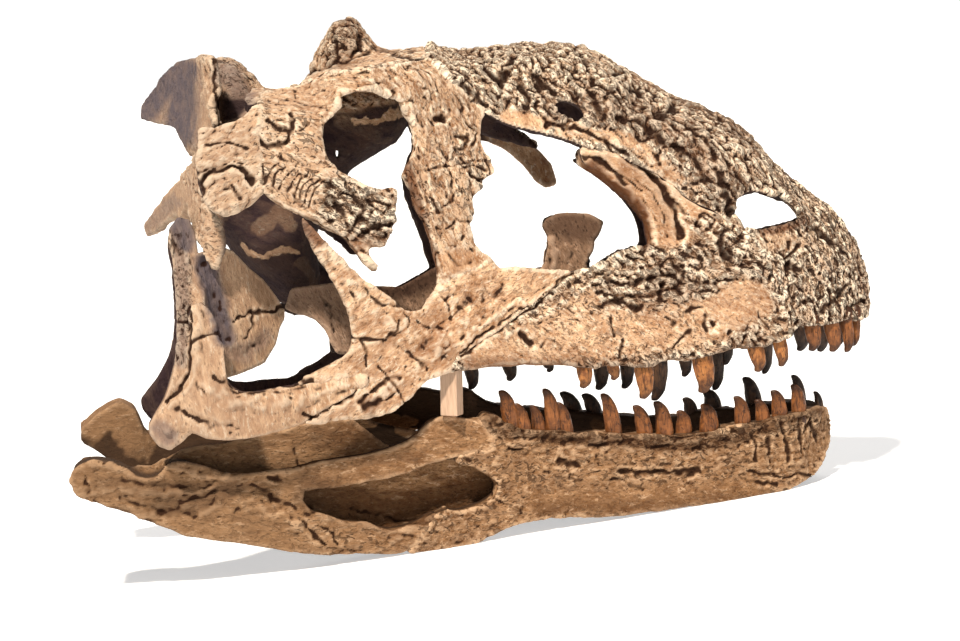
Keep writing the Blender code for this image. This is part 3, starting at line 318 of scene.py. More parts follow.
def carve(node, sight, knobby, pitted, marks, zones=(), blotches=(), lit=(), voxel=0.0013, lie=0,
          outward=outward_side):
    """A fossil bone from its solid: evened, softened, knobbly and pitted by zones, with its own marks.

    A mark is a run of pixels, its reach in pixels, its height in metres and how dark it is, the dark being
    painted shade in its groove or pit. A zone is a run of pixels, its reach, and how knobby and how pitted
    the bone is there. Each of the dark blotches is a run, its reach and how brown it is; most of them are
    painted shade and painted shadow, on faces turned from the light, in recesses and under other parts. The
    faces that look inwards get painted shade, and a lit run, its reach and a share tell where that painted
    shade is lifted. The knobs and pits lie along a line that falls towards the nose by the angle "lie", in
    degrees. The faces of the fine skin are about as wide as "voxel".
    """
    side = node[-1] if node[-2:] in ("_L", "_R") else ""
    if side == "L":
        voxel *= FAR_SIDE_VOXEL
    skin = Skin(even_skin(node, voxel))
    skin.round_edges(2)
    rim = skin.plane_faces(round(FACET_AREA / voxel ** 2))

    # Where each point is seen, bent a little so that no mark or zone looks ruled
    local = sight.local(skin.points, side)
    facing = skin.normals()
    out = outward(local, sight.local(facing, side, points=False))
    bend = wander(local, 0.015, 70) * 7.0 + wander(local, 0.0042, 80) * 3.4
    u, v = sight.pixels(local)
    u += bend[:, 0]
    v += bend[:, 2]

    # How knobby and pitted the bone is, less on its inside
    knob = np.full(len(u), knobby)
    pit = np.full(len(u), pitted)
    for path, reach, knob_there, pit_there in zones:
        share = 1.0 - smooth_step(0.45, 1.0, path_gap(u, v, path) / reach)
        knob += (knob_there - knob) * share
        pit += (pit_there - pit) * share
    knob *= 0.25 + 0.75 * out
    pit *= 0.25 + 0.75 * out

    # The relief, drawn out along its lie
    lengthwise = local[:, 0] * cos(radians(lie)) - local[:, 2] * sin(radians(lie))
    across = local[:, 0] * sin(radians(lie)) + local[:, 2] * cos(radians(lie))
    laid = np.stack([lengthwise * LAID_SHARE, local[:, 1], across], axis=1)
    height = (clouds(local, SWELL_SIZE, 60) - 0.5) * (SWELL_RISE + KNOBBY_SWELL_RISE * knob)
    height += knob * KNOB_RISE * (knobs(laid, KNOB_SIZE, 3) - KNOB_MEAN)
    small_rise = np.maximum(knob, pit * 0.55) * SMALL_KNOB_RISE
    height += small_rise * (knobs(laid, SMALL_KNOB_SIZE, 23) - KNOB_MEAN)
    depth = pit * smooth_step(0.20, 0.75, pit) * PIT_DEPTH
    height -= depth * worm_holes(laid, PIT_SIZE, 43)
    height += SKIN_RISE + KNOBBY_SKIN_RISE * knob + RIM_RISE * rim

    # The marks, narrow and faint in places, whose darkness is painted shade in their grooves and pits, and
    # the dark blotches, most of them painted shade and painted shadow
    shade = np.zeros(len(u))
    narrow = 0.25 + 1.4 * clouds(local, 0.0070, 90)
    patchy = clouds(local, 0.0050, 95)
    for path, reach, rise, dark in marks:
        share = smooth_step(0.0, 1.0, 1.0 - path_gap(u, v, path) / (reach * narrow))
        share *= smooth_step(0.1, 0.6, out)
        share *= 0.45 + 0.9 * patchy
        height += rise * share
        shade = np.maximum(shade, dark * share)
    # Dark blotches, most of them painted shade on faces turned from the light, in recesses and under other
    # parts, and painted cast shadow
    stain = np.zeros(len(u))
    for path, reach, amount in blotches:
        share = 1.0 - smooth_step(0.35, 1.0, path_gap(u, v, path) / reach)
        stain = np.maximum(stain, amount * share)

    # Painted shade on the faces that look inwards, lifted where the photograph shows them lit, on whichever
    # side that is
    inner = 1.0 - out
    seen_u, seen_v = sight.pixels(sight.local(skin.points, ""))
    seen_u += bend[:, 0] * 1.5
    seen_v += bend[:, 2] * 1.5
    for path, reach, amount in lit:
        share = 1.0 - smooth_step(0.5, 1.0, path_gap(seen_u, seen_v, path) / reach)
        inner *= 1.0 - amount * share

    skin.points += facing * height[:, None]
    skin.points[:, 2] = np.maximum(skin.points[:, 2], FLOOR_GAP)
    skin.write()

    # What the finish reads at each point: painted shade in the hollows, the marks and the broad basins, a
    # painted highlight with the cream of wear on the crests, painted shade on the faces that look inwards,
    # and the dark blotches
    hollow = (skin.blur(height, round(HOLLOW_AREA / voxel ** 2)) - height) / HOLLOW_DEPTH
    level = skin.blur(skin.points, round(BASIN_AREA / voxel ** 2))
    basin = ((level - skin.points) * facing).sum(axis=1) / BASIN_DEPTH
    stretch = 0.26 + 0.36 * pitted
    skin.keep_places("laid", np.stack([lengthwise * stretch, local[:, 1], across], axis=1))
    skin.keep("pitted", pit)
    skin.keep("hollow", np.maximum(shade, smooth_step(0.05, 1.15, hollow)))
    skin.keep("crest", smooth_step(0.1, 1.0, -hollow - 0.45 * basin))
    skin.keep("basin", smooth_step(0.10, 1.0, basin + 0.25 * hollow))
    skin.keep("inner", inner)
    skin.keep("stain", stain)
    skin.mesh.shade_smooth()
    piece = placed(piece_name(node) + "Bone", skin.mesh)
    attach(piece, "root")
    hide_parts(node)
    return piece


class Number:
    """A number that varies over a surface, so that a finish reads as plain sums."""

    def __init__(self, finish, socket):
        self.finish = finish
        self.socket = socket

    def __add__(self, other):
        return self.finish.sum("ADD", self, other)

    def __sub__(self, other):
        return self.finish.sum("SUBTRACT", self, other)

    def __mul__(self, other):
        return self.finish.sum("MULTIPLY", self, other)

    def __radd__(self, other):
        return self.finish.sum("ADD", other, self)

    def __rsub__(self, other):
        return self.finish.sum("SUBTRACT", other, self)

    def __rmul__(self, other):
        return self.finish.sum("MULTIPLY", other, self)

    def __abs__(self):
        return self.finish.sum("ABSOLUTE", self)

    def most(self, other):
        return self.finish.sum("MAXIMUM", self, other)

    def step(self, low, high):
        """0 at low and 1 at high, smoothly between."""
        sockets = {"Value": self, "From Min": low, "From Max": high}
        found = self.finish.node("MapRange", {"interpolation_type": "SMOOTHSTEP"}, sockets)
        return Number(self.finish, found.outputs["Result"])


class Nodes:
    """The shader nodes of a material or of the studio round the skull."""

    def __init__(self, owner):
        owner.use_nodes = True
        self.tree = owner.node_tree

    def feed(self, socket, value):
        if isinstance(value, Number):
            value = value.socket
        if isinstance(value, bpy.types.NodeSocket):
            self.tree.links.new(value, socket)
        else:
            socket.default_value = value

    def node(self, kind, settings=None, sockets=None):
        new = self.tree.nodes.new("ShaderNode" + kind)
        for name, value in (settings or {}).items():
            setattr(new, name, value)
        for name, value in (sockets or {}).items():
            self.feed(new.inputs[name], value)
        return new


class Finish(Nodes):
    """The nodes of one material."""

    def __init__(self, name):
        self.material = bpy.data.materials.new(name)
        super().__init__(self.material)
        self.shader = self.tree.nodes["Principled BSDF"]
        self.place = self.node("TexCoord").outputs["Object"]

    def sum(self, operation, *values):
        new = self.node("Math", {"operation": operation}, dict(enumerate(values)))
        return Number(self, new.outputs[0])

    def kept(self, name):
        """One of the values that were kept on the skin."""
        return Number(self, self.node("Attribute", {"attribute_name": name}).outputs["Fac"])

    def stretched(self, scale):
        return self.node("Mapping", None, {"Vector": self.place, "Scale": scale}).outputs["Vector"]

    def noise(self, scale, detail, distortion=0.0, place=None, rough=0.5):
        sockets = {"Vector": place or self.place, "Scale": scale, "Detail": detail, "Distortion": distortion,
                   "Roughness": rough}
        return Number(self, self.node("TexNoise", None, sockets).outputs[0])

    def cells(self, scale):
        found = self.node("TexVoronoi", None, {"Vector": self.place, "Scale": scale})
        return Number(self, found.outputs["Distance"])

    def blend(self, share, first, second):
        colours = {0: share, 6: first, 7: second}
        return self.node("Mix", {"data_type": "RGBA"}, colours).outputs[2]

    def bump(self, height, distance, strength):
        sockets = {"Height": height, "Distance": distance, "Strength": strength}
        return self.node("Bump", None, sockets).outputs["Normal"]

    def set(self, **values):
        for name, value in values.items():
            self.feed(self.shader.inputs[name.replace("_", " ").title()], value)

    def set_specular(self, level):
        self.feed(self.shader.inputs["Specular IOR Level"], level)


def bone_finish(name, worn_and_highlight, pale, tan, brown, hollow_shade, inside_shade, rear, grey):
    """Old bone: cream where it is worn and as a painted highlight on its crests, tan and brown in patches,
    and painted shade in its pits, hollows and basins, on its faces inside the skull and in most of its dark
    blotches.
    """
    finish = Finish(name)
    behind = Number(finish, finish.node("SeparateXYZ", None, {"Vector": finish.place}).outputs["X"])
    finish.place = finish.node("Attribute", {"attribute_name": "laid"}).outputs["Vector"]
    pitted = finish.kept("pitted")
    inner = finish.kept("inner")
    patches = finish.noise(12.0, 3.0, 0.3)
    mottle = finish.noise(90.0, 6.0, 0.4, rough=0.70)
    grit = finish.noise(280.0, 5.0, 0.5, rough=0.75)
    grain = finish.noise(620.0, 4.0, rough=0.75)

    # A net of fine worn ridges, with the pits between them, and scattered holes and specks
    web = 1.0 - abs(finish.noise(240.0, 2.0, 0.9) - 0.5).step(0.015, 0.115)
    fine_web = 1.0 - abs(finish.noise(430.0, 2.0, 0.6) - 0.5).step(0.02, 0.13)
    ridge = web * 0.65 + fine_web * 0.35
    netted = (1.0 - ridge).step(0.30, 0.95) * pitted.step(0.48, 1.00)
    holes = finish.noise(330.0, 1.5, 1.3, finish.stretched((1.0, 1.0, 0.8))).step(0.575, 0.640)
    holes = holes * patches.step(0.38, 0.56) * (0.15 + pitted.step(0.15, 0.75) * 0.85)
    specks = (1.0 - finish.cells(460.0).step(0.12, 0.30)) * mottle.step(0.44, 0.56) * (0.20 + pitted * 0.5)
    pit = netted.most(holes).most(specks)
    cracks = 1.0 - abs(finish.noise(75.0, 5.0, 0.9, rough=0.65) - 0.5).step(0.003, 0.014)

    # Tan and pale bone, brown in its dark specks and cracks, brown as painted shade in its basins, and cream
    # where it is worn and as a painted highlight on its crests
    light = patches * 0.28 + mottle * 0.95 + grain * 0.35 - 0.27 - pitted * 0.10
    colour = finish.blend(light.step(0.34, 0.74), tan, pale)
    colour = finish.blend((1.0 - light).step(0.50, 0.82) * (0.30 + pitted * 0.60), colour, brown)
    colour = finish.blend((1.0 - grit).step(0.52, 0.64) * (0.45 + pitted * 0.45), colour, brown)
    colour = finish.blend(cracks * grit.step(0.42, 0.54) * 0.75, colour, brown)
    # Painted shade, in brown, in the broad basins
    colour = finish.blend(finish.kept("basin") * 0.85, colour, brown)
    # Painted highlight on the crests, with the cream of wear
    colour = finish.blend(finish.kept("crest") * (0.24 + pitted * 0.58), colour, worn_and_highlight)
    colour = finish.blend((grit.step(0.53, 0.66) * 0.55).most(ridge * pitted * 0.35), colour, worn_and_highlight)

    # Duller towards the rear, then dark blotches, most of them painted shade and painted shadow, then painted
    # shade on the faces inside the skull, darkest in the hollows, marks and pits
    colour = finish.blend(behind.step(-0.02, -0.26) * 0.55, colour, rear)
    # Dark blotches, brown towards the front and grey towards the rear; most are painted shade and painted
    # shadow
    blotch_colour = finish.blend(behind.step(-0.12, -0.18), brown, grey)
    colour = finish.blend(finish.kept("stain") * (0.50 + mottle * 0.9), colour, blotch_colour)
    colour = finish.blend(inner.step(0.20, 0.80) * (0.70 + mottle * 0.50), colour, inside_shade)
    # Painted shade, darkest in the narrow hollows, the marks and the pits
    colour = finish.blend(finish.kept("hollow").step(0.06, 0.75).most(pit * 0.90) * 0.95, colour, hollow_shade)
    height = grain * 0.20 + mottle * 0.55 + grit * 0.50 - pit * 0.9
    finish.set(base_color=colour, roughness=0.66 + grain * 0.25, normal=finish.bump(height, 0.0028, 1.0))
    finish.set_specular(0.12)
    return finish.material


upper_bone = bone_finish(
    "upper bone",
    worn_and_highlight=(0.99, 0.85, 0.66, 1.0),
    pale=(0.77, 0.500, 0.300, 1.0),
    tan=(0.37, 0.180, 0.080, 1.0),
    brown=(0.125, 0.040, 0.012, 1.0),
    hollow_shade=(0.020, 0.006, 0.002, 1.0),
    inside_shade=(0.032, 0.018, 0.020, 1.0),
    rear=(0.35, 0.25, 0.175, 1.0),
    grey=(0.100, 0.080, 0.088, 1.0),
)


def outward_roof(local, facing):
    """The roof's top and the thin plates behind are outside, and the braincase under it is inside."""
    u, v = skull_sight.pixels(local)
    top = smooth_step(-0.1, 0.3, facing[:, 2])
    lit_top = np.maximum(top, smooth_step(106, 92, v))
    behind = smooth_step(235, 212, u)
    return np.clip(np.maximum(lit_top * smooth_step(150, 100, v), behind * 0.8), 0.0, 1.0)


ROOF_MARKS = [
    ([(394, 55), (428, 61), (461, 69), (478, 73)], 5, -0.0025, 0.9),
    ([(379, 53), (405, 49), (426, 48), (468, 57)], 4, -0.0015, 0.6),
    ([(312, 72), (330, 68), (352, 62), (376, 50)], 5, -0.0015, 0.5),
    ([(215, 127), (249, 123), (269, 117), (289, 107), (309, 102), (336, 95)], 4, -0.0020, 0.85),
    ([(334, 40), (340, 55), (336, 64)], 4, -0.0025, 0.75),
    ([(356, 36), (362, 48), (352, 58)], 4, -0.0025, 0.75),
    ([(296, 92), (300, 80), (310, 72)], 5, -0.0020, 0.6),
    ([(213, 62), (214, 80), (213, 100), (218, 118), (222, 126)], 3, -0.0025, 0.9),
    ([(204, 62), (206, 84), (208, 104), (216, 122)], 7, 0.0022, 0.0),
    ([(358, 121), (375, 119), (405, 113)], 5, 0.0030, 0.0),
    ([(262, 226), (270, 214), (284, 212), (291, 224)], 8, 0.0040, 0.0),
    ([(248, 246), (262, 252), (276, 254), (288, 246)], 5, 0.0050, 0.0),
]
ROOF_ZONES = [
    ([(150, 95), (180, 75), (190, 110)], 40, 0.10, 0.25),
    ([(225, 90), (245, 100)], 24, 0.15, 0.45),
    ([(150, 230), (175, 205)], 26, 0.10, 0.30),
    ([(205, 215), (215, 262)], 20, 0.20, 0.60),
    ([(345, 32), (345, 55)], 26, 0.9, 0.8),
    ([(360, 74), (400, 72), (470, 84)], 32, 0.16, 0.56),
    ([(270, 240), (320, 280)], 60, 0.5, 0.2),
]
# The first two are painted shade: in the hollow behind the near edge of the nuchal crest, and on the far
# wing, which faces away from the light
ROOF_BLOTCHES = [
    ([(224, 72), (236, 84), (246, 100), (236, 112), (226, 102)], 17, 0.65),
    ([(146, 108), (168, 80), (184, 72), (183, 100), (180, 134)], 25, 1.0),
    ([(345, 25), (352, 40), (340, 60)], 22, 0.45),
    ([(148, 228), (160, 214), (176, 200)], 10, 0.45),
]
ROOF_LIT = [
    ([(358, 121), (375, 119), (405, 113)], 4, 1.0),
    ([(262, 226), (276, 212), (290, 222)], 13, 0.40),
    ([(246, 244), (254, 252), (270, 254), (280, 248), (292, 250)], 4.5, 0.9),
    ([(300, 262), (312, 274), (318, 292)], 10, 0.35),
    ([(232, 214), (244, 206)], 8, 0.3),
    ([(344, 124), (366, 130), (386, 140)], 12, 0.30),
]
roof = carve("skull_roof", skull_sight, 0.50, 0.62, ROOF_MARKS, ROOF_ZONES, ROOF_BLOTCHES, ROOF_LIT,
             voxel=0.0016, lie=20, outward=outward_roof)
roof.data.materials.append(upper_bone)


# Nasals
# Two bones grown together into one thick, rough vault over the snout, with an opening into its hollow on each
# side. The band under the opening is smooth.
NASAL_MARKS = [
    ([(537, 79), (546, 86), (554, 93)], 8, -0.0045, 0.95),
    ([(543, 117), (546, 125)], 4, -0.0020, 0.7),
    ([(545, 124), (569, 129), (592, 136), (612, 146), (630, 158)], 4.5, -0.0026, 0.85),
    ([(632, 90), (636, 95)], 8, -0.0040, 0.95),
    ([(656, 115), (666, 110), (676, 105)], 8, -0.0040, 0.95),
    ([(612, 78), (619, 74)], 6, -0.0025, 0.9),
    ([(618, 121), (634, 124), (651, 131), (664, 142)], 7, -0.0028, 0.75),
    ([(514, 62), (506, 72), (497, 84)], 7, -0.0030, 0.8),
    ([(484, 66), (492, 76), (500, 88)], 6, -0.0030, 0.8),
    ([(482, 104), (472, 96), (462, 88)], 7, -0.0030, 0.8),
    ([(520, 86), (528, 98), (524, 108)], 6, -0.0025, 0.7),
    ([(590, 92), (598, 106), (604, 118)], 6, -0.0022, 0.65),
    ([(688, 128), (704, 140), (716, 156)], 6, -0.0025, 0.65),
    ([(676, 146), (692, 160), (704, 178)], 6, -0.0025, 0.7),
    ([(716, 172), (722, 190), (728, 206), (732, 219)], 8, -0.0035, 0.85),
    ([(578, 60), (590, 72), (594, 84)], 6, -0.0025, 0.6),
    ([(700, 100), (716, 118), (734, 136)], 5, -0.0020, 0.5),
]
NASAL_ZONES = [
    ([(506, 119), (545, 124)], 9, 0.05, 0.15),
    ([(560, 131), (590, 136), (630, 142)], 9, 0.30, 0.35),
    ([(640, 150), (672, 178)], 12, 0.50, 0.55),
]
# The last is painted shade along the top edge, which faces away from the light
NASAL_BLOTCHES = [
    ([(590, 104), (640, 118), (690, 140), (730, 190)], 26, 0.42),
    ([(545, 92), (560, 118)], 16, 0.35),
    ([(640, 70), (700, 104), (745, 136), (800, 190)], 14, 0.45),
]
nasals = carve("nasals", skull_sight, 1.0, 0.85, NASAL_MARKS, NASAL_ZONES, NASAL_BLOTCHES, voxel=0.0014,
               lie=50, outward=outward_vault)
nasals.data.materials.append(upper_bone)


# Snout and upper jaw bones
# Each side has a premaxilla, a maxilla and a lacrimal, of cream bone that is pitted towards the nose and
# smooth round the great window in front of the eye.
PREMAXILLA_MARKS = [
    ([(790, 266), (797, 269)], 8, -0.0050, 1.0),
    ([(797, 277)], 5, -0.0025, 0.9),
    ([(786, 258), (794, 252), (800, 247)], 4, -0.0015, 0.8),
    ([(817, 229), (828, 240), (842, 250)], 6, -0.0025, 0.8),
    ([(822, 312), (833, 300), (843, 285)], 5, -0.0020, 0.8),
    ([(846, 318), (852, 304), (862, 300)], 5, -0.0020, 0.7),
]
PREMAXILLA_ZONES = [
    ([(760, 240), (800, 246)], 12, 0.35, 0.7),
]
# The first is painted shade on the floor of the nostril, and the last painted shade along the snout's front
# edge
PREMAXILLA_BLOTCHES = [
    ([(757, 229), (780, 229), (801, 222)], 8, 0.85),
    ([(780, 345), (850, 322)], 12, 0.45),
    ([(860, 250), (868, 300)], 12, 0.35),
]
MAXILLA_MARKS = [
    ([(612, 150), (627, 157), (647, 170), (660, 187), (670, 203), (677, 220), (680, 236)], 6, -0.0042, 1.0),
    ([(640, 164), (660, 182), (674, 202), (688, 214)], 3, -0.0014, 0.55),
    ([(584, 158), (600, 164), (614, 172), (624, 184)], 4, -0.0026, 0.8),
    ([(616, 178), (630, 192), (641, 208), (652, 226), (658, 244)], 6, 0.0022, 0.0),
    ([(632, 176), (648, 192), (660, 214), (670, 236)], 3, -0.0010, 0.45),
    ([(606, 166), (624, 176), (640, 192)], 3, -0.0012, 0.5),
    ([(700, 214), (696, 223), (702, 231), (711, 229), (715, 220), (708, 213), (700, 214)], 3.5, -0.0022, 0.6),
    ([(706, 222)], 5, 0.0020, 0.0),
    ([(716, 232), (730, 230)], 4, -0.0015, 0.75),
    ([(723, 243), (726, 256)], 8, -0.0040, 1.0),
    ([(699, 243), (704, 254)], 6, -0.0025, 0.85),
    ([(672, 262), (684, 274), (676, 290)], 9, -0.0035, 0.45),
    ([(660, 268), (664, 282), (660, 300)], 6, -0.0030, 0.45),
    ([(600, 276), (625, 284), (650, 280), (668, 274)], 5, -0.0028, 0.5),
    ([(596, 290), (622, 296), (648, 294), (668, 290)], 5, -0.0022, 0.5),
    ([(605, 304), (624, 301), (640, 308)], 7, -0.0030, 0.9),
    ([(688, 281), (712, 283), (736, 281)], 3.5, -0.0012, 0.7),
    ([(713, 325)], 6, -0.0035, 1.0),
    ([(703, 316), (706, 331)], 3.5, -0.0015, 0.85),
    ([(731, 333)], 4.5, -0.0022, 0.85),
    ([(748, 338)], 5, -0.0025, 0.95),
    ([(686, 314), (692, 308), (700, 306)], 3.5, -0.0012, 0.8),
    ([(664, 318), (672, 326)], 3.5, -0.0012, 0.8),
    ([(690, 330), (680, 338), (672, 349)], 3.5, -0.0014, 0.8),
    ([(757, 310), (766, 324), (768, 330)], 3, -0.0010, 0.6),
    ([(520, 335), (530, 341)], 6, -0.0028, 0.95),
    ([(541, 346), (548, 341), (558, 343), (560, 350)], 3, -0.0010, 0.6),
    ([(610, 318), (612, 335)], 3.5, -0.0015, 0.8),
    ([(620, 340), (618, 358)], 3.5, -0.0015, 0.8),
    ([(572, 274), (544, 298), (519, 316), (493, 335), (471, 350), (459, 358)], 4, -0.0024, 0.75),
    ([(600, 276), (566, 300), (536, 322), (506, 338)], 6, 0.0014, 0.0),
]
MAXILLA_ZONES = [
    ([(600, 160), (632, 176), (656, 205), (666, 240)], 30, 0.10, 0.12),
    ([(676, 184), (694, 204), (700, 208)], 16, 0.10, 0.15),
    ([(706, 222)], 14, 0.9, 0.7),
    ([(600, 268), (650, 262), (690, 262), (690, 285)], 24, 0.8, 0.9),
    ([(740, 250), (770, 280)], 30, 0.8, 1.0),
    ([(750, 300), (720, 318), (660, 330)], 30, 0.26, 0.46),
    ([(640, 330), (560, 345), (480, 352)], 30, 0.24, 0.42),
    ([(590, 300), (540, 325)], 16, 0.45, 0.55),
]
# The first is painted shade on the inner wall that steps back along the window's edge
MAXILLA_BLOTCHES = [
    ([(590, 170), (606, 181), (625, 196), (637, 213), (646, 246)], 12, 0.95),
    ([(626, 168), (644, 184), (657, 204), (667, 232)], 13, 0.42),
    ([(470, 366), (560, 366), (640, 366), (690, 366), (740, 352), (790, 346)], 13, 0.55),
    ([(665, 275), (680, 290), (650, 300)], 26, 0.45),
    ([(740, 268), (700, 250)], 18, 0.30),
]
LACRIMAL_MARKS = [
    ([(437, 118), (442, 119)], 7, -0.0045, 1.0),
    ([(420, 174), (446, 168), (472, 160), (488, 160)], 3, -0.0012, 0.45),
    ([(470, 176), (480, 184)], 7, -0.0035, 0.95),
    ([(454, 134), (464, 138), (462, 148), (452, 148)], 3.5, -0.0016, 0.8),
    ([(466, 122), (474, 132), (472, 144)], 3.5, -0.0016, 0.7),
    ([(440, 208), (452, 200), (458, 190)], 3, -0.0012, 0.5),
    ([(446, 228), (458, 218), (466, 222)], 3, -0.0012, 0.5),
    ([(462, 168), (476, 166), (484, 172)], 3, -0.0014, 0.6),
    ([(446, 252), (456, 262), (470, 262)], 3, -0.0010, 0.5),
]
LACRIMAL_ZONES = [
    ([(500, 130), (556, 186)], 30, 0.15, 0.15),
    ([(450, 262), (480, 262)], 14, 0.10, 0.25),
]
# Painted shade along the lacrimal's edge that turns away from the light
LACRIMAL_BLOTCHES = [
    ([(408, 165), (418, 205), (432, 250), (434, 270)], 7, 0.9),
]
LACRIMAL_LIT = [
    ([(500, 130), (530, 156), (552, 184)], 22, 0.62),
]
for side in "RL":
    premaxilla = carve("premaxilla_" + side, skull_sight, 0.28, 1.0, PREMAXILLA_MARKS, PREMAXILLA_ZONES,
                       PREMAXILLA_BLOTCHES, voxel=0.0010, lie=70)
    maxilla = carve("maxilla_" + side, skull_sight, 0.42, 0.8, MAXILLA_MARKS, MAXILLA_ZONES, MAXILLA_BLOTCHES,
                    lie=25)
    lacrimal = carve("lacrimal_" + side, skull_sight, 0.34, 0.64, LACRIMAL_MARKS, LACRIMAL_ZONES,
                     LACRIMAL_BLOTCHES, LACRIMAL_LIT, lie=65)
    for piece in (premaxilla, maxilla, lacrimal):
        piece.data.materials.append(upper_bone)


# Bones behind the eye
# The postorbital has a fan of short cracks across it and a broken, ragged lower end. The squamosal behind it
# has a crescent recess. Both are rough.
FAN_CRACKS = [
    ([(266 + 6.4 * k, 184 + 2.9 * k), (271 + 6.4 * k, 172 + 2.7 * k), (280 + 6.4 * k, 163 + 2.9 * k)],
     2.2, -0.0012, 0.85)
    for k in range(8)
]
POSTORBITAL_MARKS = FAN_CRACKS + [
    ([(257, 139), (267, 147), (284, 144), (292, 130), (292, 117)], 5, -0.0028, 0.9),
    ([(268, 120), (284, 130), (290, 140)], 4, -0.0020, 0.6),
    ([(330, 200), (344, 212), (352, 228)], 5, -0.0020, 0.7),
    ([(352, 196), (360, 206), (376, 210)], 5, -0.0020, 0.7),
    ([(346, 240), (356, 226), (362, 214)], 5, -0.0020, 0.6),
    ([(248, 160), (262, 166), (266, 178)], 3.5, -0.0014, 0.6),
    ([(360, 236), (372, 226), (388, 222)], 6, -0.0025, 0.8),
]
SQUAMOSAL_MARKS = [
    ([(201, 197), (199, 184), (205, 174), (216, 168), (231, 168), (244, 174), (254, 182)], 5, -0.0045, 1.0),
    ([(199, 173), (212, 166), (229, 163), (240, 166)], 4, -0.0020, 0.7),
    ([(206, 164), (222, 158), (240, 160)], 5, 0.0015, 0.0),
    ([(206, 146), (226, 142), (246, 146)], 4, -0.0015, 0.5),
    ([(222, 190), (232, 186), (240, 194)], 4, -0.0015, 0.6),
]
POSTORBITAL_ZONES = [
    ([(340, 205), (380, 220)], 34, 0.8, 0.95),
    ([(270, 185), (310, 195)], 22, 0.25, 0.55),
]
POSTORBITAL_BLOTCHES = [
    ([(350, 246), (390, 236)], 12, 0.5),
]
for side in "RL":
    postorbital = carve("postorbital_" + side, skull_sight, 0.40, 0.55, POSTORBITAL_MARKS, POSTORBITAL_ZONES,
                        POSTORBITAL_BLOTCHES, lie=20)
    squamosal = carve("squamosal_" + side, skull_sight, 0.40, 0.52, SQUAMOSAL_MARKS, lie=-30)
    for piece in (postorbital, squamosal):
        piece.data.materials.append(upper_bone)


# Cheek, jaw joint and palate bones
# The jugal, and the quadratojugal with the quadrate grown on to it, are smooth plates with a few fine cracks.
# The palate's thin plate is joined to them inside the skull, where its bone is painted darker and duller as
# shade.
JUGAL_MARKS = [
    ([(345, 336), (357, 339), (386, 341), (396, 333), (399, 322)], 3.0, -0.0016, 0.9),
    ([(362, 342), (369, 352), (367, 366)], 3, -0.0014, 0.8),
    ([(395, 345), (410, 356), (424, 370)], 3, -0.0012, 0.5),
    ([(380, 365), (394, 384), (406, 404)], 3, -0.0012, 0.5),
    ([(364, 405), (370, 402), (376, 404)], 7, -0.0030, 0.9),
    ([(357, 402), (378, 388), (398, 376)], 4, -0.0022, 0.6),
    ([(304, 382), (312, 382)], 4.5, -0.0022, 0.9),
    ([(572, 274), (544, 294), (519, 311), (492, 330), (471, 345), (459, 354)], 3, -0.0016, 0.6),
    ([(520, 300), (490, 322), (462, 342), (430, 362)], 7, 0.0020, 0.0),
    ([(470, 300), (446, 326), (420, 344)], 9, -0.0014, 0.0),
    ([(420, 320), (446, 332), (452, 350)], 4, -0.0012, 0.3),
    ([(372, 296), (384, 306), (398, 306)], 3.5, -0.0012, 0.6),
    ([(338, 388), (341, 396), (336, 404)], 3, -0.0014, 0.85),
    ([(364, 378), (366, 383), (337, 404), (306, 420)], 3, -0.0020, 0.9),
    ([(440, 296), (450, 306), (452, 318)], 3.5, -0.0012, 0.5),
    ([(326, 252), (352, 284), (378, 318), (414, 340)], 14, 0.0022, 0.0),
    ([(262, 388), (304, 380), (344, 374)], 8, 0.0016, 0.0),
    ([(470, 322), (440, 346), (404, 372), (366, 408)], 12, 0.0020, 0.0),
    ([(500, 292), (470, 300), (448, 296)], 12, -0.0016, 0.15),
]
QUADRATE_MARKS = [
    ([(172, 318), (188, 320)], 3, -0.0018, 0.9),
    ([(194, 341), (204, 335), (221, 334)], 3, -0.0014, 0.85),
    ([(233, 318), (249, 312), (260, 312), (276, 310), (284, 304)], 3.5, -0.0018, 0.95),
    ([(251, 312), (253, 322), (243, 339)], 3, -0.0014, 0.8),
    ([(303, 412), (309, 419)], 3, -0.0014, 0.85),
    ([(190, 306), (191, 343), (189, 371), (179, 389), (168, 401)], 4, -0.0030, 0.75),
    ([(197, 312), (200, 345), (198, 372), (186, 394), (172, 408)], 6, 0.0020, 0.0),
    ([(204, 262), (214, 296), (225, 335)], 14, -0.0030, 0.2),
    ([(206, 384), (226, 400), (264, 406), (304, 397), (362, 381)], 12, 0.0026, 0.0),
    ([(216, 376), (238, 391), (272, 391), (304, 385)], 6, -0.0018, 0.3),
    ([(180, 412), (200, 424), (240, 430)], 8, -0.0022, 0.2),
    ([(228, 350), (246, 352), (262, 340)], 9, -0.0012, 0.2),
]
PALATE_MARKS = [
    ([(552, 270), (556, 252), (552, 240)], 6, 0.0018, 0.0),
    ([(566, 232), (572, 250), (566, 266)], 5, -0.0008, 0.1),
    ([(320, 296), (330, 306), (332, 330)], 4, -0.0012, 0.5),
]
JUGAL_ZONES = [
    ([(250, 390), (330, 386)], 20, 0.08, 0.15),
    ([(320, 250), (350, 290)], 20, 0.20, 0.45),
]
# The first is the painted cast shadow of the bar above on the jugal's upper end
JUGAL_BLOTCHES = [
    ([(302, 220), (322, 240)], 13, 0.85),
    ([(366, 404), (372, 404)], 12, 0.6),
    ([(230, 384), (290, 390)], 9, 0.7),
    ([(416, 352), (440, 346), (452, 360)], 14, 0.35),
]
QUADRATE_ZONES = [
    ([(180, 235), (184, 300), (178, 360)], 13, 0.25, 0.65),
]
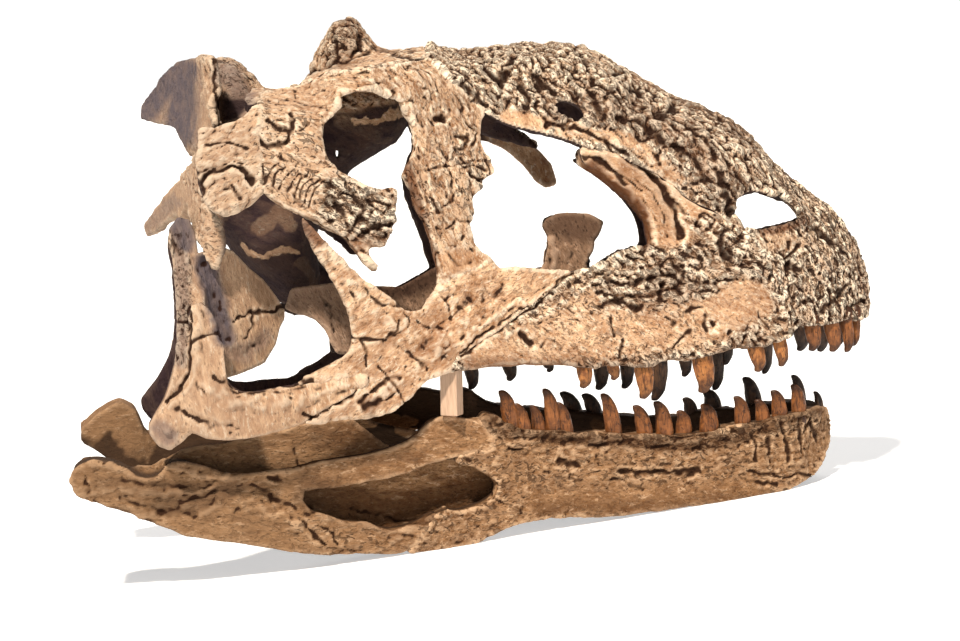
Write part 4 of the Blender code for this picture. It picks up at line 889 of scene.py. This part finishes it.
# The first is painted shade under the squamosal's wing, and the third the shaft's painted cast shadow on the
# plate behind it
QUADRATE_BLOTCHES = [
    ([(168, 215), (182, 226), (186, 240)], 17, 1.0),
    ([(180, 250), (182, 300), (178, 360)], 12, 0.50),
    ([(203, 262), (213, 294), (224, 336)], 17, 1.0),
    ([(160, 432), (168, 438)], 14, 0.6),
    ([(232, 350), (246, 354), (266, 336)], 14, 0.4),
]
# Both are painted shade on the palate, deep inside the skull
PALATE_BLOTCHES = [
    ([(378, 290), (434, 276)], 20, 1.0),
    ([(548, 222), (575, 226), (594, 232)], 20, 0.80),
]
# A darker, duller copy of the bone's finish, as painted shade for the palate deep inside the skull
shaded_palate_bone = bone_finish(
    "palate bone",
    worn_and_highlight=(0.62, 0.43, 0.30, 1.0),
    pale=(0.43, 0.255, 0.155, 1.0),
    tan=(0.240, 0.138, 0.080, 1.0),
    brown=(0.080, 0.042, 0.026, 1.0),
    hollow_shade=(0.018, 0.009, 0.006, 1.0),
    inside_shade=(0.040, 0.026, 0.022, 1.0),
    rear=(0.26, 0.19, 0.15, 1.0),
    grey=(0.06, 0.042, 0.038, 1.0),
)
for side in "RL":
    jugal = carve("jugal_" + side, skull_sight, 0.30, 0.36, JUGAL_MARKS, JUGAL_ZONES, JUGAL_BLOTCHES, lie=-36)
    quadrate = carve("quadrate_" + side, skull_sight, 0.08, 0.16, QUADRATE_MARKS, QUADRATE_ZONES,
                     QUADRATE_BLOTCHES, lie=78)
    palate = carve("palate_" + side, skull_sight, 0.15, 0.30, PALATE_MARKS, (), PALATE_BLOTCHES, lie=60)
    for piece in (jugal, quadrate):
        piece.data.materials.append(upper_bone)
    palate.data.materials.append(shaded_palate_bone)


# Lower jaw
# Each half is a dentary, which holds the teeth, and the grown-together bones behind it with the jaw's joint.
# Its bone is browner. It has a row of small holes for nerves, and a shelf and a long groove towards the rear.
jaw_sight = Sight(JAW_TILT)
DENTARY_MARKS = [
    ([(509, 449), (519, 451)], 5, -0.0028, 0.95),
    ([(559, 461), (574, 466)], 5, -0.0028, 0.95),
    ([(618, 469), (650, 472), (698, 473)], 4.5, -0.0022, 0.85),
    ([(750, 472), (780, 476), (812, 474)], 3.5, -0.0014, 0.6),
    ([(748, 482), (776, 484)], 3.5, -0.0012, 0.5),
    ([(752, 434), (754, 458)], 4, -0.0016, 0.65),
    ([(766, 428), (770, 462)], 4, -0.0016, 0.65),
    ([(782, 422), (786, 458)], 4, -0.0016, 0.65),
    ([(798, 418), (802, 452)], 4, -0.0016, 0.65),
    ([(812, 414), (814, 440)], 4, -0.0016, 0.65),
    ([(612, 476), (628, 480), (644, 488)], 3.5, -0.0012, 0.55),
    ([(470, 480), (500, 500), (520, 512)], 4, -0.0012, 0.5),
    ([(536, 436), (600, 444), (700, 446), (760, 438)], 9, -0.0012, 0.25),
]
POSTDENTARY_MARKS = [
    ([(93, 466), (127, 470), (158, 474), (167, 465), (207, 476), (247, 481)], 6, 0.0020, 0.0),
    ([(90, 478), (120, 481), (160, 483), (206, 486)], 8, -0.0008, 0.0),
    ([(80, 492), (127, 491), (193, 491), (240, 484)], 8, 0.0020, 0.0),
    ([(160, 510), (180, 502), (203, 494), (233, 487), (258, 489), (290, 504), (313, 513)], 10, -0.0017, 0.10),
    ([(250, 487), (272, 496), (292, 505)], 5, -0.0014, 0.40),
    ([(162, 513), (178, 510), (192, 513)], 9, -0.0020, 0.45),
    ([(120, 500), (150, 508), (164, 514)], 6, -0.0016, 0.3),
    ([(200, 512), (240, 504), (272, 512), (300, 526)], 12, 0.0024, 0.0),
    ([(93, 500), (120, 512), (160, 523)], 3, -0.0012, 0.5),
    ([(303, 522), (312, 534), (326, 544)], 4, -0.0018, 0.7),
    ([(318, 526), (334, 532), (338, 544)], 3, -0.0014, 0.6),
    ([(268, 480), (276, 480)], 6, -0.0030, 0.95),
    ([(294, 448), (298, 466)], 2.5, -0.0010, 0.6),
    ([(84, 478), (86, 490)], 6, -0.0018, 0.4),
    ([(350, 508), (400, 522), (440, 520)], 4, -0.0014, 0.4),
]
DENTARY_ZONES = [
    ([(500, 425), (600, 438), (720, 438), (810, 420)], 14, 0.4, 0.8),
    ([(540, 500), (640, 500), (760, 490)], 16, 0.15, 0.3),
]
# The first is painted shade along the jaw's upper edge, under the upper jaw
DENTARY_BLOTCHES = [
    ([(490, 420), (540, 434), (620, 442), (720, 442), (815, 408)], 12, 0.7),
    ([(540, 506), (640, 508), (780, 496)], 12, 0.35),
]
DENTARY_LIT = [
    ([(600, 430), (655, 433)], 11, 0.55),
    ([(500, 420), (520, 424), (562, 430)], 10, 0.45),
    ([(664, 430), (712, 428)], 9, 0.40),
]
POSTDENTARY_ZONES = [
    ([(300, 530), (340, 545), (460, 530)], 18, 0.3, 0.5),
]
# The first is painted shade under the shelf towards the rear
POSTDENTARY_BLOTCHES = [
    ([(160, 508), (200, 500), (236, 490)], 15, 0.6),
    ([(96, 484), (150, 486), (210, 488)], 10, 0.4),
    ([(310, 492), (380, 512), (440, 506), (490, 488)], 26, 0.7),
    ([(320, 440), (360, 434), (388, 432)], 18, 0.55),
]
POSTDENTARY_LIT = [
    ([(92, 422), (112, 412), (128, 420), (142, 440)], 26, 0.85),
    ([(356, 424), (384, 422), (414, 421)], 8, 0.8),
    ([(398, 432), (414, 436)], 8, 0.8),
]
jaw_bone = bone_finish(
    "jaw bone",
    worn_and_highlight=(0.74, 0.50, 0.31, 1.0),
    pale=(0.35, 0.188, 0.086, 1.0),
    tan=(0.160, 0.070, 0.025, 1.0),
    brown=(0.062, 0.022, 0.006, 1.0),
    hollow_shade=(0.026, 0.009, 0.003, 1.0),
    inside_shade=(0.036, 0.018, 0.009, 1.0),
    rear=(0.20, 0.118, 0.062, 1.0),
    grey=(0.080, 0.044, 0.024, 1.0),
)
for side in "RL":
    dentary = carve("dentary_" + side, jaw_sight, 0.20, 0.55, DENTARY_MARKS, DENTARY_ZONES, DENTARY_BLOTCHES,
                    DENTARY_LIT)
    rear_jaw = carve("postdentary_" + side, jaw_sight, 0.14, 0.30, POSTDENTARY_MARKS, POSTDENTARY_ZONES,
                     POSTDENTARY_BLOTCHES, POSTDENTARY_LIT)
    for piece in (dentary, rear_jaw):
        piece.data.materials.append(jaw_bone)


# Teeth
# Curved, flattened blades of enamel, each in its own socket, darker towards their tips and roots. On the near
# side those of the maxilla are orange-brown and the rest brown. Those of the far side are painted dark as
# shade.
def tooth_finish(name, warm, brown, dark):
    finish = Finish(name)
    tip = finish.kept("tip")
    drawn_out = finish.stretched((9.0, 9.0, 1.4))
    streaks = finish.noise(60.0, 5.0, 0.6, drawn_out)
    stain = finish.noise(150.0, 5.0, 0.5, rough=0.65)
    split = 1.0 - abs(finish.noise(24.0, 3.0, 0.8, drawn_out) - 0.5).step(0.004, 0.024)
    colour = finish.blend((streaks * 0.6 + stain * 0.8).step(0.50, 0.90), warm, brown)
    colour = finish.blend((tip + stain * 0.5 - 0.2).step(0.60, 1.0) * 0.75, colour, dark)
    colour = finish.blend(((1.0 - tip) + stain * 0.5).step(0.80, 1.15) * 0.85, colour, dark)
    colour = finish.blend((stain.step(0.58, 0.72) * 0.25).most(split * 0.8), colour, dark)
    finish.set(base_color=colour, roughness=0.30 + stain * 0.30, coat_weight=0.10)
    finish.set(normal=finish.bump(streaks * 0.6 + stain * 0.6 - split * 0.5, 0.0007, 0.8))
    finish.set_specular(0.25)
    return finish.material


warm_tooth = tooth_finish(
    "warm tooth",
    warm=(0.42, 0.17, 0.048, 1.0),
    brown=(0.17, 0.060, 0.020, 1.0),
    dark=(0.030, 0.011, 0.006, 1.0),
)
brown_tooth = tooth_finish(
    "brown tooth",
    warm=(0.27, 0.098, 0.028, 1.0),
    brown=(0.115, 0.040, 0.013, 1.0),
    dark=(0.022, 0.008, 0.004, 1.0),
)
# The far side's teeth: a darker copy of the same finish, as painted shade
shaded_tooth = tooth_finish(
    "dark tooth",
    warm=(0.105, 0.052, 0.026, 1.0),
    brown=(0.048, 0.027, 0.018, 1.0),
    dark=(0.014, 0.009, 0.008, 1.0),
)


def finer_tooth(node):
    """The tooth's solid, with its faces rounded into one smooth blade."""
    bm = joined_solid(node)
    bm.normal_update()
    bmesh.ops.subdivide_edges(bm, edges=bm.edges[:], cuts=3, use_grid_fill=True, smooth=0.9)
    bmesh.ops.smooth_vert(bm, verts=bm.verts, factor=0.4, use_axis_x=True, use_axis_y=True, use_axis_z=True)
    return Skin(shaped_mesh(node, bm))


RIPPLE_SIZE = 0.002
RIPPLE_RISE = 0.0003
teeth = {}
for node in sorted(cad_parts):
    if "tooth" in node:
        skin = finer_tooth(node)
        heights = skin.points[:, 2]
        rise = (heights - heights.min()) / (heights.max() - heights.min())
        skin.keep("tip", rise if node.startswith("dentary") else 1.0 - rise)
        skin.points += skin.normals() * (clouds(skin.points, RIPPLE_SIZE, 31)[:, None] - 0.5) * RIPPLE_RISE
        skin.write()
        skin.mesh.shade_smooth()
        tooth = placed(piece_name(node), skin.mesh)
        near_tooth = warm_tooth if node.startswith("max") else brown_tooth
        # The far side's teeth get the darker copy of the finish, as painted shade
        tooth.data.materials.append(shaded_tooth if "_L_" in node else near_tooth)
        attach(tooth, "root")
        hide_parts(node)
        teeth[node] = tooth

# Small teeth that were still coming up between the others, and the smallest of the far side. Each row gives
# the tooth that it is like, the pixel of its tip, how far out it stands against that one, and its size.
SMALL_TEETH = [
    ("dentary_tooth_R_1", (516, 403), 1.0, 0.90),
    ("dentary_tooth_R_2", (531, 405), 1.0, 0.95),
    ("dentary_tooth_R_2", (557, 402), 0.985, 1.0),
    ("dentary_tooth_R_6", (679, 410), 1.02, 0.85),
    ("dentary_tooth_R_8", (757, 399), 1.0, 0.95),
    ("dentary_tooth_L_3", (686, 397), 1.0, 0.80),
    ("dentary_tooth_L_5", (815, 391), 0.95, 0.70),
    ("maxillary_tooth_L_8", (726, 365), 0.97, 0.90),
    ("maxillary_tooth_L_8", (765, 374), 0.88, 0.90),
]
for number, (like, (u, v), out, size) in enumerate(SMALL_TEETH, start=1):
    sight = jaw_sight if like.startswith("dentary") else skull_sight
    skin = Skin(teeth[like].data.copy())
    heights = skin.points[:, 2]
    tip = skin.points[heights.argmax() if like.startswith("dentary") else heights.argmin()].copy()
    middle_gap = (sight.place.inverted() @ Vector(tip)).y
    skin.points = np.array(sight.spot(u, v, middle_gap * out)) + (skin.points - tip) * size
    skin.write()
    tooth = placed("SmallTooth" + str(number), skin.mesh)
    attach(tooth, "root")


# Jaw prop
# A square length of pale wood that holds the jaws apart on the right side, with softly broken edges. It is a
# little taller than its solid, to meet the bone above it.
PROP_BREAK = 0.0008
PROP_EXTRA = 0.006
prop_wood = Finish("prop wood")
fibres = prop_wood.noise(40.0, 4.0, 0.3, prop_wood.stretched((14.0, 14.0, 1.0)))
wood_colour = prop_wood.blend(fibres.step(0.3, 0.7), (0.56, 0.38, 0.26, 1.0), (0.40, 0.26, 0.17, 1.0))
prop_wood.set(base_color=wood_colour, roughness=0.65, normal=prop_wood.bump(fibres, 0.0004, 0.5))
bm = joined_solid("jaw_prop")
bmesh.ops.dissolve_limit(bm, angle_limit=0.02, verts=bm.verts, edges=bm.edges)
bmesh.ops.bevel(bm, geom=bm.edges[:], offset=PROP_BREAK, segments=3, profile=0.5, affect="EDGES", material=-1)
middle_height = sum(vertex.co.z for vertex in bm.verts) / len(bm.verts)
for vertex in bm.verts:
    if vertex.co.z > middle_height:
        vertex.co.z += PROP_EXTRA
prop = placed("JawProp", shaped_mesh("JawProp", bm))
prop.data.materials.append(prop_wood.material)
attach(prop, "root")
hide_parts("jaw_prop")


# Floor, light and camera
# A plain pale floor in a white studio, soft light from the upper left in front of the skull, with fainter
# light from behind and from the right, and the photograph's own viewpoint.
WHITE = (1.0, 1.0, 1.0, 1.0)
FLOOR_SIZE = 60.0
floor_finish = Finish("pale floor")
floor_finish.set(base_color=(0.70, 0.70, 0.70, 1.0), roughness=0.9)
floor_finish.set(emission_color=WHITE, emission_strength=0.48)
bm = bmesh.new()
bmesh.ops.create_grid(bm, x_segments=1, y_segments=1, size=FLOOR_SIZE)
floor = placed("Floor", shaped_mesh("Floor", bm))
floor.data.materials.append(floor_finish.material)

world = bpy.data.worlds.new("studio")
bpy.context.scene.world = world
studio = Nodes(world)
lighting = studio.tree.nodes["Background"]
studio.feed(lighting.inputs["Color"], WHITE)
studio.feed(lighting.inputs["Strength"], 0.20)
shown = studio.node("Background", None, {"Color": WHITE, "Strength": 1.05})
seen_directly = studio.node("LightPath").outputs["Is Camera Ray"]
choice = studio.node("MixShader", None, {0: seen_directly, 1: lighting.outputs[0], 2: shown.outputs[0]})
studio.feed(studio.tree.nodes["World Output"].inputs["Surface"], choice.outputs[0])


def sun(name, strength, azimuth, height, softness, colour):
    """A far light. Its azimuth counts to the right from the skull's right side, its height from the floor."""
    light = bpy.data.lights.new(name, "SUN")
    light.energy = strength
    light.angle = radians(softness)
    light.color = colour
    lamp = placed(name, light)
    turn = radians(azimuth)
    lift = radians(height)
    towards = Vector((sin(turn) * cos(lift), -cos(turn) * cos(lift), sin(lift)))
    lamp.rotation_mode = "QUATERNION"
    lamp.rotation_quaternion = towards.to_track_quat("Z", "Y")


sun("key", 5.6, azimuth=-26, height=56, softness=4, colour=(1.0, 0.91, 0.80))
sun("back", 1.3, azimuth=165, height=40, softness=40, colour=(1.0, 0.96, 0.92))
sun("fill", 0.3, azimuth=55, height=20, softness=30, colour=(1.0, 0.93, 0.86))

SENSOR_WIDTH = 36.0
lens = bpy.data.cameras.new("camera")
lens.sensor_width = SENSOR_WIDTH
lens.lens = SENSOR_WIDTH * DISTANCE / PIXEL / PHOTO_WIDTH
camera = placed("camera", lens)
turned = jaw_sight.place.to_3x3()
axes = Matrix((turned @ jaw_sight.right, turned @ jaw_sight.up, -(turned @ jaw_sight.forward))).transposed()
camera.matrix_world = Matrix.Translation(jaw_sight.place @ jaw_sight.eye) @ axes.to_4x4()
bpy.context.scene.camera = camera
bpy.context.scene.view_settings.view_transform = "Standard"
